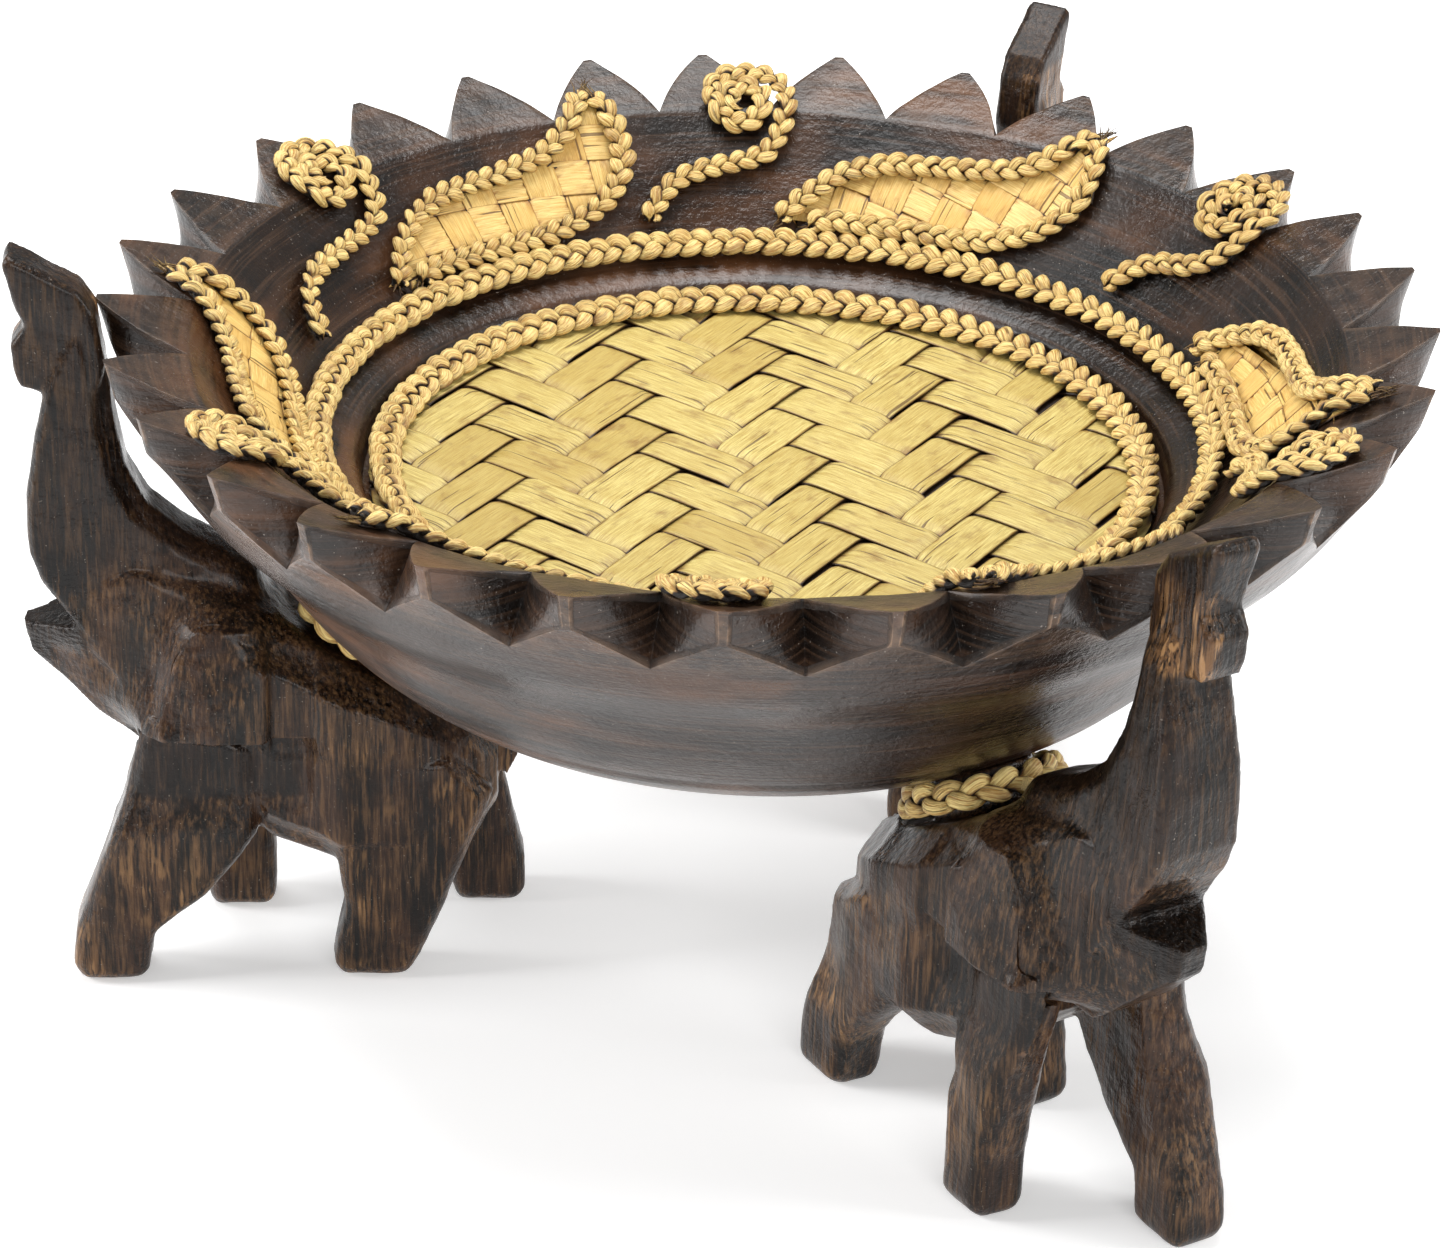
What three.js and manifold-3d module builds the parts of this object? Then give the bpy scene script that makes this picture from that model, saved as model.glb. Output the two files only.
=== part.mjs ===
// Carved wooden bowl on three elephants, trimmed inside with woven bamboo and braid.
// Millimetres, +Z up. The bowl's axis is vertical and the feet stand at z = 0.
import * as THREE from 'three';
import { ConvexGeometry } from 'three/addons/geometries/ConvexGeometry.js';
import { mergeVertices } from 'three/addons/utils/BufferGeometryUtils.js';
import Module from 'manifold-3d';

const wasm = await Module();
wasm.setup();

// ---------------------------------------------------------------- driving sizes

const GAP = 0.3; // kept between pieces that touch
const BRAID_LIFT = 0.7; // a wall braid's underside over the wall, so that it clears the wall's bend

// bowl: [radius, height] points
const RIM_RADIUS = 150;
const RIM_HEIGHT = 165.3;
const UNDERSIDE = 86;
const FLOOR = 120.7;
const MAT_POCKET_RADIUS = 91.6;
const NOTCH_FOOT = [130, 158.2]; // where two teeth meet on the inner face
const WALL_FOOT = [102, 131.2];
const LEDGE = [[MAT_POCKET_RADIUS, 124.2], [92.8, 126.8], [98, 129]];
const OUTSIDE = [[147.8, 156.6], [134, 136], [122.3, 124], [109.6, 106.6], [99.6, 95.2], [84, UNDERSIDE]];
const BOWL_SEGMENTS = 58;
const RING_SEGMENTS = 24; // for the small rings and bosses

// rim teeth
const TOOTH_TIPS = [ // degrees round the axis; hand cut, so the spacing wanders
  196.5, 183.6, 171.8, 159.8, 145.7, 133.1, 121, 108.4, 97.2, 83.7, 71.4, 58.7, 47.1, 33.6, 22.5,
  10, -2.8, -15.2, -27.2, -40.5, -53.3, -66.5, -79.6, -92.7, -104.8, -116.9, -128.5, -139.6, -151.8,
];
const TOOTH_LAND = 2.4; // blunt end of a tooth
const NOTCH_DEPTH = 19.6;
const NOTCH_TILT = THREE.MathUtils.degToRad(42.5); // cut square to the wall
const NOTCH_OUTER_FOOT = [140.9, 146.3]; // where two teeth meet on the outer face
const NOTCH_OUTER_DEPTH = 4.2; // from there to the teeth's upright ends
const NOTCH_OUTER_TILT = THREE.MathUtils.degToRad(-14.2); // cut along the teeth's ends

// woven mat and the braids round it
const MAT_RADIUS = MAT_POCKET_RADIUS - GAP;
const MAT_THICKNESS = 2;
const MAT_BRAID = { radius: 87.5, width: 8.3, thickness: 4 };
const WALL_BRAID = { radius: 101.7, height: 134.5, width: 7.4, thickness: 3.8, tilt: 38 };

// leaves and scrolls on the wall: [degrees round the axis from the tip, distance up the wall]
const LEAF_TIPS = [
  { azimuth: 174.3, rise: 1 }, { azimuth: 110, rise: 0 }, { azimuth: 53, rise: -1 },
  { azimuth: -15.3, rise: 2 }, { azimuth: -71, rise: 0 }, { azimuth: -128, rise: 0 },
];
const LEAF_UPPER = [
  [36, 28.4], [34, 32], [31, 37.4], [27.4, 42.2], [23, 45], [18, 46], [12.6, 47], [8.2, 49.4], [5, 53.6],
  [2.8, 58.6], [1.2, 65],
];
const LEAF_LOWER = [
  [30.5, 28.4], [23, 28.2], [14, 28.2], [8.4, 29.4], [3.6, 32.8], [0.2, 38], [-1.6, 44.4], [-1.8, 51],
  [-1.4, 58],
];
const LEAF_BRAID = { width: 5.4, thickness: 3.6 };
const LEAF_PANEL_THICKNESS = 1;
const LEAF_RADIUS = 118; // a leaf's middle, from the bowl's axis
const SCROLLS = [
  { azimuth: 145.6, root: 19 }, { azimuth: 93.7, root: 12.6 }, { azimuth: 32.6, root: 8.6 },
  { azimuth: -28, root: 13 }, { azimuth: -93, root: 13 }, { azimuth: 213, root: 13 },
];
const SCROLL_CURL = [
  [-2.8, 46], [-4.5, 51], [-5.2, 57.4], [-4.6, 64.6], [-2.2, 70], [0.4, 71.2], [3.3, 67.4], [4.6, 60.4],
  [2.8, 54.8], [-0.6, 54], [-2.6, 57.6], [-1.9, 61.8], [0.2, 62.8],
];
const SCROLL_BRAID = { width: 4.4, thickness: 3.6 };

// elephants: placed round the axis, each facing outward
const ELEPHANT_RADIUS = 112.5;
const ELEPHANTS = [
  { azimuth: 184.7, heading: 185.1 }, { azimuth: 303.2, heading: 301.5 }, { azimuth: 65, heading: 65 },
];
const SADDLE = { x: -22, z: 83.8, tilt: THREE.MathUtils.degToRad(30) };
const SADDLE_BRAID = { radius: 16, height: 0, width: 7.6, thickness: 8.2, tilt: 0 };
const BOSS_RADIUS = SADDLE_BRAID.radius - SADDLE_BRAID.width / 2 - GAP;

// wood screws, from the floor of the mat pocket into the elephants' backs
const SCREW = { shank: 2.2, head: 4.4, headHeight: 2.6, pointLength: 6, below: 16, sink: 2.6 };
const SCREW_SEGMENTS = 12;

const CUTTER_REACH = 30; // how far a cutter runs on past what it cuts

// ---------------------------------------------------------------- materials

function finish(color, roughness) {
  return new THREE.MeshStandardMaterial({ color, roughness, metalness: 0 });
}

const darkWood = finish('#2a1a12', 0.42);
const bamboo = finish('#d9b25a', 0.55);
const braidStraw = finish('#cf9d45', 0.6);
const steel = new THREE.MeshStandardMaterial({ color: '#9a9a98', roughness: 0.35, metalness: 1 });

// ---------------------------------------------------------------- solids

function toSolid(geometry) {
  const bare = geometry.index ? geometry.toNonIndexed() : geometry.clone();
  for (const name of Object.keys(bare.attributes)) {
    if (name !== 'position') bare.deleteAttribute(name);
  }
  const merged = mergeVertices(bare, 1e-4);
  return new wasm.Manifold(new wasm.Mesh({
    numProp: 3,
    vertProperties: new Float32Array(merged.attributes.position.array),
    triVerts: new Uint32Array(merged.index.array),
  }));
}

function toGeometry(solid) {
  const mesh = solid.getMesh();
  const geometry = new THREE.BufferGeometry();
  geometry.setAttribute('position', new THREE.BufferAttribute(mesh.vertProperties, 3));
  geometry.setIndex(new THREE.BufferAttribute(mesh.triVerts, 1));
  const flat = geometry.toNonIndexed();
  flat.computeVertexNormals();
  return flat;
}

function union(parts) {
  return wasm.Manifold.union(parts);
}

// A profile of [radius, height] points turned about Z. It runs up the outside first.
function turned(profile, segments) {
  const points = profile.map(([r, z]) => new THREE.Vector2(r, z));
  return toSolid(new THREE.LatheGeometry(points, segments).rotateX(Math.PI / 2));
}

// Sections of equal point count joined in order and capped at both ends.
function lofted(sections) {
  const count = sections[0].length;
  const points = sections.flat();
  const index = [];
  for (let row = 0; row + 1 < sections.length; row += 1) {
    for (let i = 0; i < count; i += 1) {
      const a = row * count + i;
      const b = row * count + ((i + 1) % count);
      index.push(a, b, b + count, a, b + count, a + count);
    }
  }
  const last = (sections.length - 1) * count;
  for (let i = 1; i + 1 < count; i += 1) {
    index.push(0, i + 1, i, last, last + i, last + i + 1);
  }
  const geometry = new THREE.BufferGeometry().setFromPoints(points);
  geometry.setIndex(index);
  return toSolid(geometry);
}

function hull(points) {
  return toSolid(new ConvexGeometry(points.map(([x, y, z]) => new THREE.Vector3(x, y, z))));
}

// Points given for one side and repeated on the other side of the plane y = 0.
function mirroredHull(points) {
  return hull([...points, ...points.map(([x, y, z]) => [x, -y, z])]);
}

// A side outline of [x, z] points, cut through from y = low to y = high with chamfered edges.
function sawn(outline, low, high, chamfer) {
  const shape = new THREE.Shape(outline.map(([x, z]) => new THREE.Vector2(x, z)));
  const geometry = new THREE.ExtrudeGeometry(shape, {
    depth: high - low - 2 * chamfer,
    bevelSize: chamfer,
    bevelOffset: -chamfer,
    bevelThickness: chamfer,
    bevelSegments: 1,
  });
  return toSolid(geometry.rotateX(Math.PI / 2).translate(0, high - chamfer, 0));
}

// ---------------------------------------------------------------- the bowl's wall as a surface

const WALL = [WALL_FOOT, NOTCH_FOOT, [RIM_RADIUS, RIM_HEIGHT]].map(([r, z]) => new THREE.Vector2(r, z));
const WALL_START = 19.7; // distance from the mat's edge to the foot of the wall

// The point and the normal on the inner wall at an azimuth in degrees and a distance up the wall.
function onWall(azimuth, distance, lift) {
  const run = distance - WALL_START;
  const lower = WALL[0].distanceTo(WALL[1]);
  const [from, to] = run < lower ? [WALL[0], WALL[1]] : [WALL[1], WALL[2]];
  const slope = to.clone().sub(from).normalize();
  const along = run < lower ? run : run - lower;
  const bend = THREE.MathUtils.smoothstep(run, lower - 4, lower + 4);
  const lowerSlope = WALL[1].clone().sub(WALL[0]).normalize();
  const upperSlope = WALL[2].clone().sub(WALL[1]).normalize();
  const blended = lowerSlope.lerp(upperSlope, bend).normalize();
  const radius = from.x + slope.x * along - blended.y * lift;
  const height = from.y + slope.y * along + blended.x * lift;
  const angle = THREE.MathUtils.degToRad(azimuth);
  return {
    point: new THREE.Vector3(radius * Math.cos(angle), radius * Math.sin(angle), height),
    normal: new THREE.Vector3(-blended.y * Math.cos(angle), -blended.y * Math.sin(angle), blended.x),
  };
}

// A smooth open line through [azimuth, distance up the wall] points.
function smoothLine(line) {
  const points = line.map(([azimuth, distance]) => new THREE.Vector3(azimuth, distance, 0));
  return new THREE.CatmullRomCurve3(points, false, 'centripetal');
}

// A flat braid as a plain solid: a low four-sided section carried along a line on the wall.
function wallBraid(line, { width, thickness }, steps) {
  const track = smoothLine(line).getPoints(steps).map((p) => onWall(p.x, p.y, BRAID_LIFT + thickness / 2));
  const sections = track.map(({ point, normal }, i) => {
    const before = track[Math.max(i - 1, 0)].point;
    const after = track[Math.min(i + 1, steps)].point;
    const along = after.clone().sub(before).normalize();
    const side = new THREE.Vector3().crossVectors(normal, along).normalize();
    const up = new THREE.Vector3().crossVectors(along, side);
    const corners = [[-0.5, -0.5], [0.5, -0.5], [0.3, 0.5], [-0.3, 0.5]];
    return corners.map(([s, n]) => point.clone()
      .addScaledVector(side, s * width)
      .addScaledVector(up, n * thickness));
  });
  return lofted(sections);
}

// ---------------------------------------------------------------- bowl

function bowlProfile(offset) {
  return [[0, UNDERSIDE - offset], ...OUTSIDE.map(([r, z]) => [r + offset * 0.7, z - offset]).reverse()];
}

// A prism that widens from a foot to a half width over a depth, tilted and centred on a [radius, height]
// point. belly is 0 for straight sides, more for sides that open out towards the teeth's tips.
function notchCutter([radius, height], tilt, depth, half, belly) {
  const steps = belly > 0 ? 3 : 1;
  const side = Array.from({ length: steps + 1 }, (_, i) => {
    const t = i / steps;
    return [depth * t, half * ((1 - belly) * t + belly * t * t)];
  });
  const outer = depth + CUTTER_REACH;
  const outline = [...side, [outer, half], [outer, -half]];
  outline.push(...side.slice(1).reverse().map(([x, y]) => [x, -y]));
  const shape = new THREE.Shape(outline.map(([x, y]) => new THREE.Vector2(x, y)));
  const length = 3 * CUTTER_REACH;
  const geometry = new THREE.ExtrudeGeometry(shape, { depth: length, bevelEnabled: false });
  return toSolid(geometry.translate(0, 0, -length / 2).rotateY(-tilt).translate(radius, 0, height));
}

// The cutter for the notch between two teeth that are a given angle apart, in degrees: one cut square to the
// wall, and one up the outside that leaves the teeth's ends narrow all the way down.
function notchSolid(pitch) {
  const half = RIM_RADIUS * Math.sin(THREE.MathUtils.degToRad(pitch / 2)) - TOOTH_LAND / 2;
  const square = notchCutter(NOTCH_FOOT, NOTCH_TILT, NOTCH_DEPTH, half, 0.38);
  const upright = notchCutter(NOTCH_OUTER_FOOT, NOTCH_OUTER_TILT, NOTCH_OUTER_DEPTH, half, 0);
  return square.add(upright);
}

function screwAxis() {
  const up = new THREE.Vector3(-Math.sin(SADDLE.tilt), 0, Math.cos(SADDLE.tilt));
  const seat = new THREE.Vector3(ELEPHANT_RADIUS + SADDLE.x, 0, SADDLE.z);
  const reach = (FLOOR - SCREW.sink - seat.z) / up.z;
  return { up, top: seat.clone().addScaledVector(up, reach), length: reach + SCREW.below };
}

// A screw, or with a clearance the hole it passes through, with the head's top at the origin.
function screwSolid(clearance, length) {
  const shank = SCREW.shank + clearance;
  const head = SCREW.head + clearance;
  const point = shank * 0.4;
  const profile = [
    [0, -length], [point, -length], [shank, SCREW.pointLength - length], [shank, -SCREW.headHeight], [head, 0],
  ];
  if (clearance > 0) {
    profile.push([head, CUTTER_REACH], [0, CUTTER_REACH]);
  } else {
    profile.push([0, 0]);
  }
  return turned(profile, SCREW_SEGMENTS);
}

function placeScrew(solid, azimuth) {
  const { up, top } = screwAxis();
  const tilt = THREE.MathUtils.radToDeg(Math.atan2(up.x, up.z));
  return solid.rotate([0, tilt, 0]).translate([top.x, top.y, top.z]).rotate([0, 0, azimuth]);
}

function bowlSolid() {
  const inside = [
    [0, FLOOR], [MAT_POCKET_RADIUS, FLOOR], ...LEDGE, WALL_FOOT, NOTCH_FOOT, [RIM_RADIUS, RIM_HEIGHT],
  ];
  const blank = turned([...bowlProfile(0), ...inside.reverse()], BOWL_SEGMENTS);
  const notches = TOOTH_TIPS.map((tip, i) => {
    const next = i + 1 < TOOTH_TIPS.length ? TOOTH_TIPS[i + 1] : TOOTH_TIPS[0] - 360;
    return notchSolid(tip - next).rotate([0, 0, (tip + next) / 2]);
  });
  const hole = screwSolid(GAP, screwAxis().length);
  const holes = ELEPHANTS.map(({ azimuth }) => placeScrew(hole, azimuth));
  return blank.subtract(union(notches)).subtract(union(holes));
}

// ---------------------------------------------------------------- mat, braid rings and wall trim

function matSolid() {
  const low = FLOOR + GAP;
  const high = low + MAT_THICKNESS;
  return turned([[0, low], [MAT_RADIUS, low], [MAT_RADIUS, high], [0, high]], BOWL_SEGMENTS);
}

// A closed braid ring: a six-sided flattened section, tilted about the ring's centre line.
function ringSolid({ radius, height, width, thickness, tilt }, segments) {
  const turn = THREE.MathUtils.degToRad(tilt);
  const section = [[0.5, 0], [0.3, 0.5], [-0.3, 0.5], [-0.5, 0], [-0.3, -0.5], [0.3, -0.5], [0.5, 0]];
  const profile = section.map(([u, v]) => {
    const across = u * width;
    const up = v * thickness;
    return [radius + across * Math.cos(turn) - up * Math.sin(turn),
      height + across * Math.sin(turn) + up * Math.cos(turn)];
  });
  return turned(profile, segments);
}

function leafLine(points, { azimuth, rise }) {
  return points.map(([a, s]) => [azimuth + a, s + rise * THREE.MathUtils.smoothstep(s, 46, 66)]);
}

// The woven infill: a thin sheet on the wall, filling the space between a leaf's two braids.
function leafPanel(tip) {
  const upper = smoothLine(leafLine(LEAF_UPPER, tip));
  const lower = smoothLine(leafLine(LEAF_LOWER, tip));
  const inset = LEAF_BRAID.width / 2 + GAP + 0.2;
  const rows = 9;
  const columns = 2;
  const degree = THREE.MathUtils.degToRad(1) * LEAF_RADIUS;
  const flat = (p) => new THREE.Vector3(p.x * degree, p.y, 0);
  const sections = [];
  for (let row = 0; row <= rows; row += 1) {
    const t = 0.12 + (0.74 * row) / rows;
    const a = upper.getPointAt(t);
    const b = lower.getPointAt(t);
    const rib = flat(a).sub(flat(b));
    const share = (line) => {
      const tangent = flat(line.getTangentAt(t)).normalize();
      return inset / new THREE.Vector3().crossVectors(rib, tangent).length();
    };
    const [low, high] = [share(lower), 1 - share(upper)];
    const across = Array.from({ length: columns + 1 }, (_, i) => {
      return new THREE.Vector3().lerpVectors(b, a, low + ((high - low) * i) / columns);
    });
    const under = across.map((p) => onWall(p.x, p.y, GAP).point);
    const over = across.map((p) => onWall(p.x, p.y, GAP + LEAF_PANEL_THICKNESS).point).reverse();
    sections.push([...under, ...over]);
  }
  return lofted(sections);
}

function scrollLine({ azimuth, root }) {
  const stem = [
    [root, 28.6], [root - 1.4, 33], [root - 4, 38.4], [root - 8, 41.6], [(root - 10.6) / 2, 43],
  ];
  return [...stem, ...SCROLL_CURL].map(([a, s]) => [azimuth + a, s]);
}

// ---------------------------------------------------------------- elephant, facing +X, left side +Y

// Trunk and neck: sections from the front edge to the back edge, wider in front than behind:
// [front x, z, back x, z, front half width, back half width, lean to the left].
const TRUNK = [
  [34, 76, -1, 86, 13, 12, 0], [45.5, 91, 3, 101.6, 12.4, 8, 0], [52, 100.8, 19, 110, 11.6, 7, 0],
  [54.4, 108, 27.2, 117, 11, 7, 0.4], [54.4, 121.5, 32.2, 127, 10.4, 6.6, 0.8],
  [52.6, 132, 33.6, 136, 9.8, 6.2, 1], [49.2, 147, 35, 148, 8.2, 5.4, 1.4],
  [46, 158, 36.8, 160, 5.4, 4.6, 2.6],
];
const TRUNK_TIP = [
  [37.6, 146.4], [48.6, 146.6], [54.5, 147.8], [55.8, 151], [56.4, 158], [53, 162.6], [55, 168],
  [57.3, 177.4], [55.8, 179.6], [40.5, 170.9], [37.4, 165.8], [35.6, 153.5],
];
const TRUNK_TIP_SIDES = [-3, 8];

function trunkSection([frontX, frontZ, backX, backZ, frontHalf, backHalf, lean]) {
  const front = new THREE.Vector3(frontX, lean, frontZ);
  const back = new THREE.Vector3(backX, lean, backZ);
  const depth = front.distanceTo(back);
  const cut = 1.6;
  const point = (distance, y) => {
    const p = back.clone().lerp(front, distance / depth);
    return p.setY(lean + y);
  };
  return [
    point(3 * cut, backHalf + cut), point(0, backHalf - 1.4 * cut), point(0, 1.4 * cut - backHalf),
    point(3 * cut, -backHalf - cut), point(depth - cut, -frontHalf), point(depth, cut - frontHalf),
    point(depth, frontHalf - cut), point(depth - cut, frontHalf),
  ];
}

// Body: eight-sided upright sections, [x, bottom z, top z, half width].
const BODY = [
  [-51.5, 40, 58, 11], [-45, 30, 67, 18.6], [-30, 27.5, 78, 23.4], [-15, 28, 85, 24.6], [2, 35, 93, 23.6],
  [16.4, 49, 97, 16.4],
];

function bodySection([x, low, high, half]) {
  const cut = half * 0.42;
  const p = (y, z) => new THREE.Vector3(x, y, z);
  return [
    p(half, low + cut), p(half, high - cut), p(half - cut, high), p(cut - half, high),
    p(-half, high - cut), p(-half, low + cut), p(cut - half, low), p(half - cut, low),
  ];
}

// The rest of the carving: hulls of [x, y, z] points, given for the left side.
const HEAD = [
  [-1.5, 14, 93], [13, 13.6, 98], [31, 11.4, 102.6], [48, 10.6, 96], [43, 10.5, 86], [28, 14, 65],
  [6, 18, 68], [-1.5, 19, 84],
];
const CHEST = [
  [-12, 12, 46], [20, 12, 57], [25, 11, 62], [24, 16, 67], [26, 14, 77], [26, 11.4, 93], [2, 12, 89],
  [-12, 15, 74],
];
const JAW = [
  [57, 3, 86.4], [55.6, 3.4, 79.4], [43, 11.6, 88.6], [46, 5, 73.4], [40.6, 6, 64.6], [30.8, 6, 56],
  [11, 11, 61], [20, 13.6, 76],
];
const EAR = [
  [16, 18, 96], [9, 18, 94], [1.6, 22.6, 82], [1.2, 23.6, 65.4], [14, 25.2, 66.2], [28.6, 20.6, 64.4],
  [24, 17.6, 84], [14, 12, 66], [10, 12, 88],
];
const TAIL = [[-47, 3, 64], [-54.4, 2.6, 61], [-56.6, 2.4, 49], [-53.6, 2.2, 43.5], [-48, 3, 50]];

// Legs: side outlines of [x, z] with the leg's middle y and half width. Left legs stride forward.
const LEGS = [
  {
    middle: 15,
    half: 7.6,
    outline: [
      [29, 71], [36, 45], [47.4, 14], [48.4, 4], [46, 0], [32, 0], [30.4, 2.4], [29.4, 12.4], [17.5, 21.6],
      [4.6, 38.4], [0, 60],
    ],
  },
  {
    middle: -16.6,
    half: 7,
    outline: [
      [30, 70], [22.5, 40], [18, 15], [17.8, 2.4], [16, 0], [3.2, 0], [1.6, 2.4], [1.4, 34], [-2, 58],
    ],
  },
  {
    middle: 16,
    half: 7,
    outline: [
      [-10, 58], [-14, 30], [-15.3, 19.2], [-12.4, 3], [-14.4, 0], [-29.6, 0], [-31.5, 2.4], [-38, 17.6],
      [-44.6, 33.6], [-50, 48], [-40, 60],
    ],
  },
  {
    middle: -17,
    half: 7,
    outline: [
      [-14, 50], [-24, 32], [-38.6, 15], [-41, 2.6], [-42.6, 0], [-56.4, 0], [-58.4, 2.4], [-58.4, 12],
      [-53.4, 34], [-50, 50], [-32, 60],
    ],
  },
];
const LEG_CHAMFER = 2.6;

function saddleFrame(solid) {
  return solid.rotate([0, -THREE.MathUtils.radToDeg(SADDLE.tilt), 0]).translate([SADDLE.x, 0, SADDLE.z]);
}

// The flat the saddle braid lies on, cut into the back round the boss.
function saddleSeat() {
  const inner = BOSS_RADIUS;
  const outer = SADDLE_BRAID.radius + SADDLE_BRAID.width / 2 + GAP;
  const low = -SADDLE_BRAID.thickness / 2 - GAP;
  const corners = [[inner, low], [outer, low], [outer, CUTTER_REACH], [inner, CUTTER_REACH], [inner, low]];
  return saddleFrame(turned(corners, RING_SEGMENTS));
}

function elephantBlank() {
  const body = union([
    lofted(BODY.map(bodySection)),
    lofted(TRUNK.map(trunkSection)),
    sawn(TRUNK_TIP, ...TRUNK_TIP_SIDES, 0.9),
    mirroredHull(CHEST),
    mirroredHull(HEAD),
    mirroredHull(JAW),
    hull(EAR),
    hull(EAR.map(([x, y, z]) => [x, -y, z])),
    mirroredHull(TAIL),
    ...LEGS.map(({ middle, half, outline }) => sawn(outline, middle - half, middle + half, LEG_CHAMFER)),
  ]);
  const boss = turned(
    [[0, -BOSS_RADIUS], [BOSS_RADIUS, -BOSS_RADIUS], [BOSS_RADIUS, CUTTER_REACH], [0, CUTTER_REACH]],
    RING_SEGMENTS,
  );
  return union([body.subtract(saddleSeat()), saddleFrame(boss)]);
}

// A solid moved from the elephant's own frame to its place under the bowl.
function placeElephant(solid, { azimuth, heading }) {
  const angle = THREE.MathUtils.degToRad(azimuth);
  return solid.rotate([0, 0, heading])
    .translate([ELEPHANT_RADIUS * Math.cos(angle), ELEPHANT_RADIUS * Math.sin(angle), 0]);
}

// ---------------------------------------------------------------- assembly

const group = new THREE.Group();

function add(name, solid, material) {
  const mesh = new THREE.Mesh(toGeometry(solid), material);
  mesh.name = name;
  group.add(mesh);
}

add('bowl', bowlSolid(), darkWood);
add('weave_panel', matSolid(), bamboo);

const matTop = FLOOR + GAP + MAT_THICKNESS;
const matBraid = { ...MAT_BRAID, height: matTop + GAP + MAT_BRAID.thickness / 2, tilt: 0 };
add('mat_braid', ringSolid(matBraid, BOWL_SEGMENTS), braidStraw);
add('wall_braid', ringSolid(WALL_BRAID, BOWL_SEGMENTS), braidStraw);

LEAF_TIPS.forEach((tip, i) => {
  add(`leaf_panel_${i + 1}`, leafPanel(tip), bamboo);
  add(`leaf_braid_upper_${i + 1}`, wallBraid(leafLine(LEAF_UPPER, tip), LEAF_BRAID, 18), braidStraw);
  add(`leaf_braid_lower_${i + 1}`, wallBraid(leafLine(LEAF_LOWER, tip), LEAF_BRAID, 16), braidStraw);
});
SCROLLS.forEach((scroll, i) => {
  add(`scroll_braid_${i + 1}`, wallBraid(scrollLine(scroll), SCROLL_BRAID, 40), braidStraw);
});

const blank = elephantBlank();
const rim = RIM_RADIUS + GAP;
const above = RIM_HEIGHT + CUTTER_REACH;
const bowlClearance = turned([...bowlProfile(GAP), [rim, above], [0, above]], BOWL_SEGMENTS);
ELEPHANTS.forEach((place, i) => {
  const screw = screwSolid(0, screwAxis().length);
  const hole = placeScrew(screwSolid(GAP, screwAxis().length + GAP), place.azimuth);
  const elephant = placeElephant(blank, place).subtract(bowlClearance).subtract(hole);
  const saddle = ringSolid(SADDLE_BRAID, RING_SEGMENTS);
  add(`elephant_${i + 1}`, elephant, darkWood);
  add(`saddle_braid_${i + 1}`, placeElephant(saddleFrame(saddle), place), braidStraw);
  add(`screw_${i + 1}`, placeScrew(screw, place.azimuth), steel);
});

export default group;
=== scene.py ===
"""The looks of a carved wooden bowl on three elephants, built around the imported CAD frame.

Shapes are worked out in millimetres and degrees, in the frame's own axes, and become metres in make_piece().
"""

import math

import bpy
import numpy as np
from mathutils import Matrix, Vector, noise


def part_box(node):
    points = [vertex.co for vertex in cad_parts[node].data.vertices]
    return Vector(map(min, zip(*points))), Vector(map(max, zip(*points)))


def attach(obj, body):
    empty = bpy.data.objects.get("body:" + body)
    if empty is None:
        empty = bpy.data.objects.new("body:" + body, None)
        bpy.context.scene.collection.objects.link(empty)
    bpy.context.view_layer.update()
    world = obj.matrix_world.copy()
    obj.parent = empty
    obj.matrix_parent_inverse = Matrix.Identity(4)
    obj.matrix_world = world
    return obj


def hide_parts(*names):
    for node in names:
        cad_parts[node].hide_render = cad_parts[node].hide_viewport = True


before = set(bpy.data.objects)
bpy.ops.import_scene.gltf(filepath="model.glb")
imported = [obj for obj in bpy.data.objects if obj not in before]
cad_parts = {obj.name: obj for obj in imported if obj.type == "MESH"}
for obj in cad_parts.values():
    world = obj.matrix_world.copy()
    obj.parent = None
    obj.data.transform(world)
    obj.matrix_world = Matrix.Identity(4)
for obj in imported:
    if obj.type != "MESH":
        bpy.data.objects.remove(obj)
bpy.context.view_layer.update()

MM = 0.001

# ---------------------------------------------------------------- driving sizes, in millimetres and degrees

# the bowl's profile, as (radius, height) points
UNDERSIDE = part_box("bowl")[0].z / MM
RIM = (150.0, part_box("bowl")[1].z / MM)
FLOOR = 120.7
WALL_FOOT = (102.0, 131.2)
WALL_START = 19.7  # distance from the mat's edge to the foot of the wall
INSIDE = [(91.6, FLOOR), (91.8, 124.4), (93.2, 127.0), (97.4, 129.0), WALL_FOOT]
NOTCH_FOOT = (130.0, 158.2)  # where two teeth meet on the inner face
NOTCH_OUTER_FOOT = (140.9, 146.3)  # and on the outer face
TOOTH_END_FOOT = (147.8, 156.6)
OUTSIDE = [
    (134, 136), (122.3, 124), (109.6, 106.6), (102.4, 98.6), (101.2, 98.2), (99.8, 96.0), (98.4, 94.6),
    (91, 89.2), (84, UNDERSIDE),
]
ALONG_NOTCH, ALONG_ENDS, ALONG_OUTSIDE, ALONG_BOTTOM = 52, 80, 110, 200  # rings run along the profile so far
TOOTH_LAND = 2.0  # blunt end of a tooth
TOOTH_TIPS = [  # degrees round the axis; hand cut, so the spacing wanders
    196.5, 183.6, 171.8, 159.8, 145.7, 133.1, 121, 108.4, 97.2, 83.7, 71.4, 58.7, 47.1, 33.6, 22.5,
    10, -2.8, -15.2, -27.2, -40.5, -53.3, -66.5, -79.6, -92.7, -104.8, -116.9, -128.5, -139.6, -151.8,
]

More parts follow.
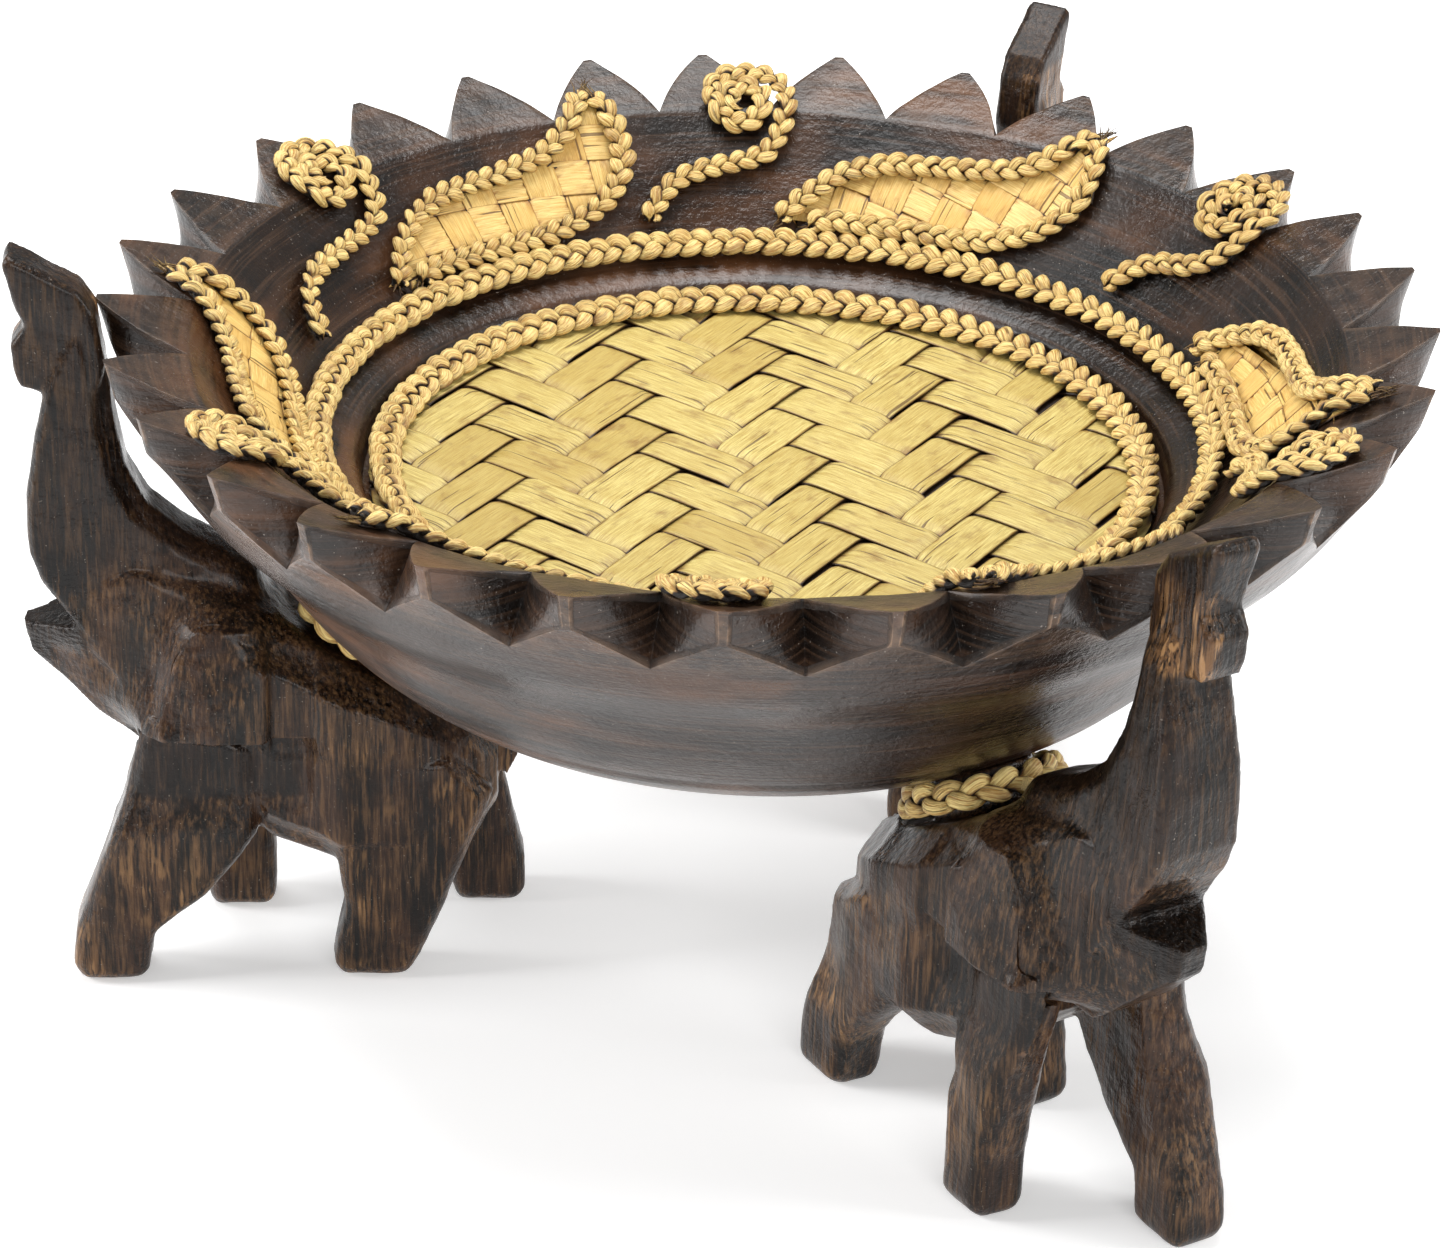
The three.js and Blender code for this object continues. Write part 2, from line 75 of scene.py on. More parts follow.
# braids: width, thickness and lobe, which is the step from one crossing of the strands to the next
MAT_BRAID = (7.4, 3.8, 5.4)
WALL_BRAID = (6.8, 3.8, 5.2)
LEAF_BRAID = (5.7, 3.6, 4.5)
SCROLL_BRAID = (5.3, 3.4, 4.6)
SADDLE_BRAID = (6.8, 5.0, 5.4)

# the mat and the two rings
MAT_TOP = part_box("weave_panel")[1].z / MM
MAT_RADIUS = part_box("weave_panel")[1].x / MM
MAT_BRAID_RADIUS = 87.5
MAT_BRAID_TILT = math.radians(26)
MAT_BRAID_LIFT = 0.9
WALL_BRAID_RADIUS = 101.7
WALL_BRAID_HEIGHT = 134.5
WALL_BRAID_TILT = math.radians(38)
WALL_BRAID_DROP = 2.0  # from the band's middle to its underside
BRAID_LIFT = 0.4  # a wall braid's underside over the wall

# leaves and scrolls on the wall: (degrees round the axis from the tip, distance up the wall)
# a leaf's tip: (azimuth, rise of the outer end)
LEAF_TIPS = [(174.3, 1), (110, 0), (53, -1), (-15.3, 2), (-71, 0), (-128, 0)]
LEAF_UPPER = [
    (36, 28.4), (34, 32), (31, 37.4), (27.4, 42.2), (23, 45), (18, 46), (12.6, 47), (8.2, 49.4), (5, 53.6),
    (2.8, 58.6), (0.9, 65.6),
]
LEAF_LOWER = [
    (32, 26.6), (30.5, 28.2), (23, 28.2), (14, 28.2), (8.4, 29.4), (3.6, 32.8), (0.2, 38), (-1.6, 44.4),
    (-1.8, 51), (-1.2, 58), (-0.2, 64),
]
LEAF_RADIUS = 118.0  # a leaf's middle, from the bowl's axis
LEAF_DEGREE = math.radians(1) * LEAF_RADIUS
SCROLLS = [(145.6, 19), (93.7, 12.6), (32.6, 8.6), (-28, 13), (-93, 13), (213, 13)]  # azimuth, stem's root
CURL_CENTRE = (0, 60.5)
CURL_RADII = [12.2, 9.6, 7.2, 6.6, 6.0, 4.2, 2.6, 1.5]  # at each quarter turn, winding inward
CURL_DEGREE = math.radians(1) * (RIM[0] - 12)

# elephants: (azimuth, heading), and the seat of the ring on an elephant's back
ELEPHANT_RADIUS = 112.5
ELEPHANTS = [(184.7, 185.1), (303.2, 301.5), (65, 65)]
VOXEL = 0.8  # size of the elephants' mesh
SADDLE_SEAT = (-22.0, 0, 83.8)
SADDLE_TILT = math.radians(30)
SADDLE_RADIUS = 13.4


# ---------------------------------------------------------------- camera, lights and floor

CAMERA_PLACE = (0, -0.93156, 0.58407)
CAMERA_ANGLES = (-0.525, 28.326, 1.406)  # yaw to the right, pitch down and roll, in degrees
CAMERA_LENS = 113.16


def add_camera():
    """A long lens, a little above the bowl and square on to it."""
    camera_data = bpy.data.cameras.new("camera")
    camera_data.sensor_width = 36
    camera_data.lens = CAMERA_LENS
    camera_data.clip_end = 30
    camera = bpy.data.objects.new("camera", camera_data)
    bpy.context.scene.collection.objects.link(camera)
    yaw, pitch, roll = [math.radians(a) for a in CAMERA_ANGLES]
    forward = Vector((math.sin(yaw) * math.cos(pitch), math.cos(yaw) * math.cos(pitch), -math.sin(pitch)))
    level = Vector((math.cos(yaw), -math.sin(yaw), 0))
    upright = level.cross(forward)
    right = math.cos(roll) * level + math.sin(roll) * upright
    up = math.cos(roll) * upright - math.sin(roll) * level
    turn = Matrix((right, up, -forward)).transposed().to_4x4()
    camera.matrix_world = Matrix.Translation(CAMERA_PLACE) @ turn
    bpy.context.scene.camera = camera


def add_softbox(name, place, size, power, aim=(0, 0, 0.1)):
    """A rectangular area light that faces the aim point."""
    lamp = bpy.data.lights.new(name, "AREA")
    lamp.shape = "RECTANGLE"
    lamp.size, lamp.size_y = size
    lamp.energy = power
    light = bpy.data.objects.new(name, lamp)
    bpy.context.scene.collection.objects.link(light)
    light.location = place
    direction = Vector(aim) - Vector(place)
    light.rotation_euler = direction.to_track_quat("-Z", "Y").to_euler()


def add_studio():
    """A white floor, an even sky and four soft boxes."""
    scene = bpy.context.scene
    scene.view_settings.view_transform = "Standard"
    world = bpy.data.worlds.new("studio")
    world.use_nodes = True
    world.node_tree.nodes["Background"].inputs["Color"].default_value = (1, 1, 1, 1)
    world.node_tree.nodes["Background"].inputs["Strength"].default_value = 0.35
    scene.world = world
    add_softbox("top_box", (-0.15, 0.35, 1.5), (1.1, 0.9), 26)
    add_softbox("left_box", (-1.4, -0.1, 0.7), (0.6, 0.8), 17)
    add_softbox("right_box", (1.4, -0.2, 0.7), (0.5, 0.8), 12)
    add_softbox("front_box", (0.4, -1.6, 0.8), (1.2, 0.5), 13)
    bpy.ops.mesh.primitive_plane_add(size=14, location=(0, 3, 0))
    floor = bpy.context.object
    floor.name = "floor"
    material = bpy.data.materials.new("floor_white")
    material.use_nodes = True
    shader = material.node_tree.nodes["Principled BSDF"]
    shader.inputs["Base Color"].default_value = (0.93, 0.93, 0.93, 1)
    shader.inputs["Roughness"].default_value = 0.7
    shader.inputs["Emission Color"].default_value = (1, 1, 1, 1)
    shader.inputs["Emission Strength"].default_value = 0.32
    floor.data.materials.append(material)


# ---------------------------------------------------------------- materials

class Nodes:
    """A short way to write a material's node tree."""

    def __init__(self, name):
        self.material = bpy.data.materials.new(name)
        self.material.use_nodes = True
        self.tree = self.material.node_tree
        self.shader = self.tree.nodes["Principled BSDF"]

    def add(self, kind, links=None, **settings):
        node = self.tree.nodes.new(kind)
        for key, value in settings.items():
            setattr(node, key, value)
        for socket, value in (links or {}).items():
            self.put(node.inputs[socket], value)
        return node

    def put(self, socket, value):
        if isinstance(value, bpy.types.NodeSocket):
            self.tree.links.new(value, socket)
        else:
            socket.default_value = value

    def attribute(self, name, output="Fac"):
        return self.add("ShaderNodeAttribute", attribute_name=name).outputs[output]

    def place(self):
        return self.add("ShaderNodeTexCoord").outputs["Object"]

    def scaled(self, vector, scale):
        return self.add("ShaderNodeVectorMath", {0: vector, 1: scale}, operation="MULTIPLY").outputs[0]

    def noise(self, vector, scale, detail=3.0, roughness=0.55, distortion=0.0):
        links = {"Vector": vector, "Scale": scale, "Detail": detail, "Roughness": roughness,
                 "Distortion": distortion}
        return self.add("ShaderNodeTexNoise", links).outputs["Fac"]

    def ramp(self, value, low, high, to_low=0.0, to_high=1.0):
        links = {"Value": value, "From Min": low, "From Max": high, "To Min": to_low, "To Max": to_high}
        return self.add("ShaderNodeMapRange", links, interpolation_type="SMOOTHSTEP").outputs[0]

    def math(self, operation, a, b=0.0):
        return self.add("ShaderNodeMath", {0: a, 1: b}, operation=operation).outputs[0]

    def mix(self, share, a, b):
        node = self.add("ShaderNodeMix", data_type="RGBA")
        self.put(node.inputs["Factor"], share)
        self.put(node.inputs["A"], a)
        self.put(node.inputs["B"], b)
        return node.outputs["Result"]

    def bump(self, height, distance, strength=1.0, normal=None):
        links = {"Height": height, "Distance": distance, "Strength": strength}
        if normal is not None:
            links["Normal"] = normal
        return self.add("ShaderNodeBump", links).outputs[0]

    def coat(self, weight, roughness):
        """A clear wax or oil film over the surface."""
        self.shader.inputs["Coat Weight"].default_value = weight
        self.shader.inputs["Coat Roughness"].default_value = roughness

    def finish(self, color, roughness, normal, specular=0.5):
        self.put(self.shader.inputs["Base Color"], color)
        self.put(self.shader.inputs["Roughness"], roughness)
        self.put(self.shader.inputs["Normal"], normal)
        self.shader.inputs["Specular IOR Level"].default_value = specular
        return self.material


def rgb(red, green, blue):
    """A colour given as it shows on a screen, 0 to 255, as a shader's linear colour."""
    levels = [level / 255 for level in (red, green, blue)]
    linear = [v / 12.92 if v <= 0.04045 else ((v + 0.055) / 1.055) ** 2.4 for v in levels]
    return (*linear, 1.0)


def carved_wood():
    """The elephants' wood: black-brown stain over an upright grain, thin on the legs and the trunk's tip.

    bare is how thin the stain is, deep how much darker the wood is made (painted shade under the ears, dark
    end grain with painted shade in the mouth, darker towards the top), and gloss how wet the cut inside the
    mouth looks.
    """
    n = Nodes("elephant_wood")
    grain = n.attribute("grain", "Vector")
    bare = n.attribute("bare")
    gloss = n.attribute("gloss")
    deep = n.attribute("deep")
    upright = n.scaled(grain, (1, 1, 0.06))
    fibres = n.noise(upright, 1100, 4, 0.65)
    dashes = n.noise(n.scaled(grain, (1, 1, 0.11)), 820, 2, 0.5)
    bands = n.noise(n.scaled(grain, (1, 1, 0.18)), 85, 3, 0.55, 0.4)
    patches = n.noise(grain, 34, 3, 0.55, 0.6)
    base = n.mix(n.ramp(bands, 0.34, 0.7), rgb(5, 3, 2), rgb(52, 33, 22))
    base = n.mix(n.ramp(fibres, 0.48, 0.7, 0, 0.7), base, rgb(96, 70, 46))
    base = n.mix(n.ramp(fibres, 0.5, 0.32, 0, 0.85), base, rgb(4, 3, 2))
    thin = n.math("MULTIPLY", n.ramp(patches, 0.42, 0.66), bare)
    thin = n.math("MULTIPLY", thin, n.ramp(fibres, 0.36, 0.6))
    base = n.mix(n.math("MULTIPLY", thin, 0.8), base, rgb(106, 76, 48))
    streaks = n.math("MULTIPLY", bare, n.ramp(patches, 0.4, 0.64))
    streaks = n.math("MULTIPLY", n.ramp(dashes, 0.55, 0.64), streaks)
    base = n.mix(n.math("MULTIPLY", streaks, 0.7), base, rgb(146, 110, 72))
    edges = n.ramp(n.add("ShaderNodeNewGeometry").outputs["Pointiness"], 0.52, 0.58)
    worn = n.math("MULTIPLY", edges, n.ramp(n.noise(grain, 190, 3), 0.4, 0.6))
    base = n.mix(n.math("MULTIPLY", worn, 0.5), base, rgb(118, 88, 66))
    # painted shade under the ears and in the mouth's cleft, the mouth's dark end grain and a darker top, all
    # from deep
    base = n.mix(n.math("MULTIPLY", deep, 0.8), base, rgb(9, 6, 5))
    specks = n.ramp(n.noise(grain, 1900, 1, 0.5), 0.74, 0.78)
    base = n.mix(n.math("MULTIPLY", specks, 0.5), base, rgb(150, 140, 128))
    satin = n.ramp(n.noise(grain, 60, 3), 0.35, 0.65, 0.2, 0.44)
    rough = n.math("SUBTRACT", satin, n.math("MULTIPLY", gloss, 0.16))
    cells = {"Vector": n.scaled(grain, (1, 1, 0.6)), "Scale": 95.0}
    hollows = n.add("ShaderNodeTexVoronoi", cells, feature="SMOOTH_F1").outputs["Distance"]
    scoops = n.bump(hollows, 0.003, 0.5)
    pits = n.bump(n.noise(grain, 430, 3, 0.6), 0.0009, 0.6, scoops)
    torn = n.math("MULTIPLY", n.noise(n.scaled(grain, (0.35, 0.35, 1)), 900, 2), gloss)
    tear = n.bump(torn, 0.0012, 1.0, pits)
    normal = n.bump(n.math("ADD", fibres, n.math("MULTIPLY", dashes, 0.6)), 0.0003, 0.8, tear)
    n.coat(0.16, 0.16)
    return n.finish(base, rough, normal, 0.17)


def turned_wood():
    """The bowl's wood: black-brown, with fine lathe lines, chestnut clouds and pale worn tooth edges.

    turning runs along the profile, round the axis and up. The lathe lines are strongest on the outside.
    """
    n = Nodes("bowl_wood")
    place = n.place()
    turning = n.attribute("turning", "Vector")
    wear = n.attribute("wear")
    lines = n.noise(n.scaled(turning, (1, 0.02, 0.02)), 1100, 3, 0.6)
    streaks = n.noise(n.scaled(turning, (0.6, 0.05, 0.05)), 300, 3, 0.6, 0.3)
    patches = n.noise(n.scaled(place, (1, 1, 1.6)), 15, 3, 0.5, 0.6)
    clouds = n.noise(place, 48, 3, 0.55)
    base = n.mix(n.ramp(clouds, 0.3, 0.7), rgb(6, 4, 3), rgb(34, 21, 13))
    base = n.mix(n.ramp(streaks, 0.48, 0.7, 0, 0.6), base, rgb(66, 44, 30))
    base = n.mix(n.ramp(lines, 0.5, 0.68, 0, 0.4), base, rgb(84, 62, 46))
    broken = n.ramp(n.math("ADD", clouds, streaks), 0.7, 1.3)
    chestnut = n.math("MULTIPLY", n.ramp(patches, 0.45, 0.62), broken)
    base = n.mix(n.math("MULTIPLY", chestnut, 0.85), base, rgb(92, 59, 35))
    worn = n.math("MULTIPLY", wear, n.ramp(n.noise(place, 210, 4, 0.6), 0.36, 0.62))
    base = n.mix(n.math("MULTIPLY", worn, 0.75), base, rgb(126, 100, 78))
    specks = n.ramp(n.noise(place, 1700, 1, 0.5), 0.735, 0.775)
    base = n.mix(n.math("MULTIPLY", specks, 0.6), base, rgb(165, 155, 145))
    satin = n.ramp(n.noise(place, 30, 3), 0.35, 0.65, 0.22, 0.4)
    grit = n.bump(n.noise(place, 620, 3, 0.6), 0.0007, 0.6)
    waves = n.bump(n.noise(place, 110, 2), 0.0012, 0.45, grit)
    along = n.add("ShaderNodeSeparateXYZ", {0: turning}).outputs["X"]
    outside = n.ramp(along, (ALONG_OUTSIDE - 10) * MM, (ALONG_OUTSIDE + 2) * MM)
    strength = n.math("ADD", n.math("MULTIPLY", outside, 0.8), 0.3)
    turned = n.math("MULTIPLY", n.math("ADD", lines, streaks), strength)
    normal = n.bump(turned, 0.0003, 0.8, waves)
    n.coat(0.25, 0.22)
    return n.finish(base, satin, normal, 0.34)


def strip_material(name, light, dark, stain):
    """Split bamboo: lengthwise fibres and cracks, a tint for each strip, brown stain and painted shade where
    strips dip, near-black painted shade in the deepest dips.
    """
    n = Nodes(name)
    strand = n.attribute("strand", "Vector")
    dip = n.attribute("dip")
    tint = n.attribute("tint")
    fibres = n.noise(n.scaled(strand, (0.04, 1, 1)), 3.4, 4, 0.7)
    cracks = n.ramp(n.noise(n.scaled(strand, (0.03, 1, 1)), 0.95, 2, 0.5), 0.65, 0.68)
    clouds = n.noise(n.scaled(strand, (0.6, 1, 1)), 0.16, 4, 0.65)
    base = n.mix(n.ramp(fibres, 0.3, 0.7), dark, light)
    base = n.mix(n.ramp(tint, 0.3, 1, 0, 0.55), base, dark)
    base = n.mix(n.ramp(clouds, 0.5, 0.76, 0, 0.6), base, stain)
    specks = n.ramp(n.noise(strand, 3.4, 2, 0.5), 0.68, 0.74)
    base = n.mix(n.math("MULTIPLY", specks, 0.6), base, stain)
    # brown stain and painted shade where strips dip, along their edges and by the mat's rim; near-black
    # painted shade in the deepest dips and on the undersides
    deep = rgb(30, 16, 8)
    uneven = n.math("ADD", dip, n.ramp(clouds, 0.3, 0.8, -0.14, 0.16))
    base = n.mix(n.ramp(uneven, 0.28, 0.85, 0, 0.75), base, stain)
    base = n.mix(n.ramp(dip, 0.62, 1.0, 0, 0.97), base, deep)
    base = n.mix(n.math("MULTIPLY", cracks, 0.75), base, rgb(74, 44, 20))
    roughness = n.ramp(fibres, 0.2, 0.8, 0.34, 0.5)
    height = n.math("SUBTRACT", fibres, n.math("MULTIPLY", cracks, 0.9))
    return n.finish(base, roughness, n.bump(height, 0.0002, 0.9), 0.5)


def braid_material():
    """Plaited straw: glossy fine fibres along every strand, honey to cream, dark stain and painted shade in
    the crevices.
    """
    n = Nodes("straw_braid")
    strand = n.attribute("strand", "Vector")
    dip = n.attribute("dip")
    tint = n.attribute("tint")
    fibres = n.noise(n.scaled(strand, (0.09, 1, 1)), 3.0, 4, 0.65)
    clouds = n.noise(n.scaled(strand, (0.4, 1, 1)), 0.42, 3, 0.6)
    base = n.mix(n.ramp(fibres, 0.34, 0.62), rgb(178, 130, 58), rgb(242, 217, 143))
    base = n.mix(n.ramp(tint, 0.45, 1, 0, 0.4), base, rgb(160, 112, 52))
    base = n.mix(n.ramp(clouds, 0.5, 0.72, 0, 0.6), base, rgb(132, 84, 36))
    threads = n.ramp(n.noise(n.scaled(strand, (0.05, 1, 1)), 1.7, 3, 0.6), 0.6, 0.66)
    base = n.mix(n.math("MULTIPLY", threads, 0.55), base, rgb(74, 42, 18))
    # brown stain and near-black painted shade in the crevices between strands and on their lower flanks
    uneven = n.math("ADD", dip, n.ramp(clouds, 0.3, 0.7, -0.1, 0.12))
    base = n.mix(n.ramp(uneven, 0.1, 0.4, 0, 0.88), base, rgb(100, 56, 20))
    base = n.mix(n.ramp(uneven, 0.27, 0.5, 0, 0.98), base, rgb(14, 8, 5))
    roughness = n.ramp(fibres, 0.2, 0.8, 0.32, 0.5)
    height = n.math("SUBTRACT", fibres, n.math("MULTIPLY", threads, 0.5))
    return n.finish(base, roughness, n.bump(height, 0.0005, 1.0), 0.5)


# ---------------------------------------------------------------- meshes

def make_piece(name, points, faces, material, nodes, attributes):
    """A mesh in the frame, from points in millimetres, that rides on the body and stands for CAD nodes."""
    mesh = bpy.data.meshes.new(name)
    mesh.from_pydata((np.asarray(points) * MM).tolist(), [], faces)
    for key, values in attributes.items():
        values = np.asarray(values, np.float32)
        kind, field = ("FLOAT_VECTOR", "vector") if values.ndim == 2 else ("FLOAT", "value")
        mesh.attributes.new(key, kind, "POINT").data.foreach_set(field, values.ravel())
    piece = bpy.data.objects.new(name, mesh)
    bpy.context.scene.collection.objects.link(piece)
    mesh.materials.append(material)
    mesh.polygons.foreach_set("use_smooth", [True] * len(mesh.polygons))
    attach(piece, "root")
    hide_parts(*nodes)
    return piece


class Batch:
    """Points, faces and point attributes gathered from several closed shapes into one piece.

    strand runs along a fibre and across it, dip is how deep in a crevice a point lies, and tint is one value
    for each closed shape.
    """

    def __init__(self):
        self.points = []
        self.faces = []
        self.strand = []
        self.dip = []
        self.tint = []
        self.count = 0

    def add(self, points, faces, strand, dip, tint):
        self.points.append(points)
        self.faces.extend((np.asarray(faces) + self.count).tolist())
        self.strand.append(strand)
        self.dip.append(dip)
        self.tint.append(np.full(len(points), tint))
        self.count += len(points)

    def piece(self, name, material, slot, *nodes):
        attributes = {
            "strand": np.concatenate(self.strand),
            "dip": np.concatenate(self.dip),
            "tint": np.concatenate(self.tint),
        }
        make_piece(name, np.concatenate(self.points), self.faces, material, nodes, attributes)


def tube_faces(rows, around, closed):
    """Quads for rows of points round a tube. A closed tube's last row joins its first."""
    grid = np.arange(rows * around).reshape(rows, around)
    if closed:
        grid = np.vstack([grid, grid[:1]])
    side = np.roll(grid, -1, axis=1)
    quads = np.stack([grid[:-1], side[:-1], side[1:], grid[1:]], axis=-1).reshape(-1, 4)
    return quads.tolist()


def end_caps(rows, around):
    """Quads that close both ends of an open tube with an even number of points round it."""
    last = (rows - 1) * around
    caps = []
    for i in range(around // 2 - 1):
        j = around - 1 - i
        caps.append([i, j, j - 1, i + 1])
        caps.append([last + i, last + i + 1, last + j - 1, last + j])
    return caps


def smoothstep(t):
    t = np.clip(t, 0, 1)
    return t * t * (3 - 2 * t)


def unit(vectors):
    return vectors / np.maximum(np.linalg.norm(vectors, axis=-1, keepdims=True), 1e-9)


def lengths_along(points):
    return np.concatenate([[0], np.cumsum(np.linalg.norm(np.diff(points, axis=0), axis=1))])


def resampled(values, distances, wanted):
    return np.stack([np.interp(wanted, distances, column) for column in values.T], axis=1)


def smooth_line(points, count):
    """A centripetal Catmull-Rom curve through the points, evenly sampled."""
    p = np.asarray(points, float)
    p = np.vstack([2 * p[0] - p[1], p, 2 * p[-1] - p[-2]])
    chords = np.linalg.norm(np.diff(p, axis=0), axis=1)
    knots = np.concatenate([[0], np.cumsum(np.maximum(chords, 1e-6) ** 0.5)])
    curve = []
    for i in range(1, len(p) - 2):
        t = np.linspace(knots[i], knots[i + 1], 12, endpoint=False)[:, None]
        k = knots[i - 1:i + 3]
        a = [((k[j + 1] - t) * p[i - 1 + j] + (t - k[j]) * p[i + j]) / (k[j + 1] - k[j]) for j in range(3)]
        b = [((k[j + 2] - t) * a[j] + (t - k[j]) * a[j + 1]) / (k[j + 2] - k[j]) for j in range(2)]
        curve.append(((k[2] - t) * b[0] + (t - k[1]) * b[1]) / (k[2] - k[1]))
    curve = np.vstack([*curve, p[-2]])
    distances = lengths_along(curve)
    return resampled(curve, distances, np.linspace(0, distances[-1], count))


def wander(values, seed, size):
    """Slow smooth noise from -size to size, one value for each number given."""
    return np.array([noise.noise(Vector((float(v), seed * 7.31, 3.3))) for v in values]) * size


# ---------------------------------------------------------------- the bowl's wall as a surface

def on_wall(azimuth, distance, lift):
    """Points and normals on the inner wall, at azimuths in degrees and distances up the wall."""
    wall = np.array([WALL_FOOT, NOTCH_FOOT, RIM])
    lower_slope, upper_slope = unit(np.diff(wall, axis=0))
    bend = np.linalg.norm(wall[1] - wall[0])
    run = np.asarray(distance, float)[:, None] - WALL_START
    above = run >= bend
    start = np.where(above, wall[1], wall[0])
    slope = np.where(above, upper_slope, lower_slope)
    turned = smoothstep((run - bend) / 10 + 0.5)
    radial, rising = unit(lower_slope * (1 - turned) + upper_slope * turned).T
    profile = start + slope * np.where(above, run - bend, run)
    radius = profile[:, 0] - rising * lift
    height = profile[:, 1] + radial * lift
    angle = np.radians(azimuth)
    points = np.stack([radius * np.cos(angle), radius * np.sin(angle), height], axis=1)
    normals = np.stack([-rising * np.cos(angle), -rising * np.sin(angle), radial], axis=1)
    return points, normals


# ---------------------------------------------------------------- braids

class Plait:
    """Three strands plaited flat along a track, over a braid's width and thickness."""

    STRANDS = 3
    SIDES = 12  # points round a strand
    ROWS = 26  # rows of points in one full swing of a strand
    DELAY = math.radians(25)  # a strand rides highest a little after it passes the braid's middle
    HALF_WIDTH, SWAY = 0.22, 0.302  # a strand's half width and its swing, in braid widths
    HALF_HEIGHT, RISE = 0.27, 0.284  # its half height and its climb, in braid thicknesses

    def __init__(self, track, normals, braid, closed, seed):
        self.width, self.thickness, self.lobe = braid
        self.closed = closed
        self.seed = seed
        if closed:
            track = np.vstack([track, track[:1]])
            normals = np.vstack([normals, normals[:1]])
        distances = lengths_along(track)
        self.total = distances[-1]
        self.period = self.STRANDS * self.lobe
        if closed:
            self.period = self.total / max(1, round(self.total / self.period))
        self.rows = int(self.total / self.period * self.ROWS)
        self.along = np.linspace(0, self.total, self.rows, endpoint=not closed)
        self.centre = resampled(track, distances, self.along)
        ahead = self.heading(self.centre)
        self.side = unit(np.cross(unit(resampled(normals, distances, self.along)), ahead))
        self.up = np.cross(ahead, self.side)
        self.angles = np.linspace(0, 2 * math.pi, self.SIDES, endpoint=False)

    def heading(self, line):
        """Unit directions along a line of points."""
        if self.closed:
            return unit(np.roll(line, -1, 0) - np.roll(line, 1, 0))
        return unit(np.gradient(line, axis=0))

    def section(self, k, phase):
        """Sideways and upward offsets of the points round strand k: an oval with low ribs along it."""
        swell = 1 + wander(self.along / (self.lobe * 0.8) + 90 * k, self.seed + 5, 0.3)
        plump = (swell * (1 + 0.26 * np.sin(2 * phase - self.DELAY)))[:, None]
        if not self.closed:
            end = np.minimum(self.along, self.total - self.along)
            plump = plump * np.clip(end / (0.35 * self.lobe), 0.25, 1)[:, None]
        rib = 1 + 0.05 * np.sin(3 * self.angles) + 0.04 * np.sin(5 * self.angles + 1.3)
        offset_side = np.cos(self.angles) * self.width * self.HALF_WIDTH * plump * rib
        offset_up = np.sin(self.angles) * self.thickness * self.HALF_HEIGHT * plump * rib
        return offset_side, offset_up

    def core(self, k, phase):
        """The line down the middle of strand k, swinging across the braid and over the other strands."""
        loose = 1 + wander(self.along / (self.lobe * 1.3) + 40 * k, self.seed, 0.22)
        across = self.width * self.SWAY * (np.sin(phase) - np.sin(3 * phase) / 9) * 0.9 * loose
        height = self.thickness * (self.RISE * np.sin(2 * phase - self.DELAY) + 0.5)
        return self.centre + self.side * across[:, None] + self.up * height[:, None]

    def crevices(self, points):
        """How deep each point lies between the strands: low in the braid or low on its own strand."""
        # the braid's material turns this depth into brown stain and painted shade
        out = points - self.centre[:, None]
        level = (out * self.up[:, None]).sum(-1) / self.thickness
        lip = np.abs((out * self.side[:, None]).sum(-1)) / (self.width / 2)
        open_side = smoothstep((lip - 0.5) / 0.35)
        flank = 1 - smoothstep(np.sin(self.angles) / 0.85)
        return np.clip(0.95 - level, 0, 1) * (0.75 - 0.5 * open_side) + 0.85 * flank * (1 - 0.9 * open_side)

    def add_to(self, batch):
        faces = tube_faces(self.rows, self.SIDES, self.closed)
        if not self.closed:
            faces += end_caps(self.rows, self.SIDES)
        for k in range(self.STRANDS):
            phase = 2 * math.pi * (self.along / self.period + k / self.STRANDS)
            core = self.core(k, phase)
            offset_side, offset_up = self.section(k, phase)
            run = self.heading(core)
            roll = 0.35 * np.cos(phase) * np.sin(phase)
            flat = unit(np.cross(self.up, run) - self.side * roll[:, None])
            face = np.cross(run, flat)
            points = core[:, None] + flat[:, None] * offset_side[..., None]
            points = points + face[:, None] * offset_up[..., None]
            far = np.broadcast_to(self.along[:, None], offset_side.shape)
            strand = np.stack([far, offset_side + 13 * k + self.seed * 3.7, offset_up], axis=-1)
            tint = 0.5 + 0.5 * noise.noise(Vector((self.seed * 1.7, k * 3.1, 0.5)))
            dip = self.crevices(points)
            batch.add(points.reshape(-1, 3), faces, strand.reshape(-1, 3), dip.ravel(), tint)


def fray(batch, root, direction, up, random, count, length, spread):
    """Loose fibres that stick out of a braid's cut end: thin bent tubes of square section."""
    side = unit(np.cross(up, direction))
    rows, around = 6, 4
    t = np.linspace(0, 1, rows)[:, None]
    angles = np.linspace(0, 2 * math.pi, around, endpoint=False)
    ring = side * np.cos(angles)[:, None] + up * np.sin(angles)[:, None]
    radius = 0.32 * (1 - 0.75 * t)
    faces = tube_faces(rows, around, False) + end_caps(rows, around)
    for _ in range(count):
        lean = random.normal(0, spread)
        lift = abs(random.normal(0, spread * 0.5))
        reach = length * random.uniform(0.45, 1)
        start = root + side * random.normal(0, 0.7) + up * random.uniform(0.4, 2)
        line = start + direction * reach * t + (side * lean + up * lift) * reach * t ** 2
        points = line[:, None] + ring * radius[..., None]
        strand = np.stack(np.broadcast_arrays(t * reach, np.cos(angles), np.sin(angles)), axis=-1)
        dip = np.full(rows * around, 0.35)
        batch.add(points.reshape(-1, 3), faces, strand.reshape(-1, 3), dip, random.uniform(0, 1))


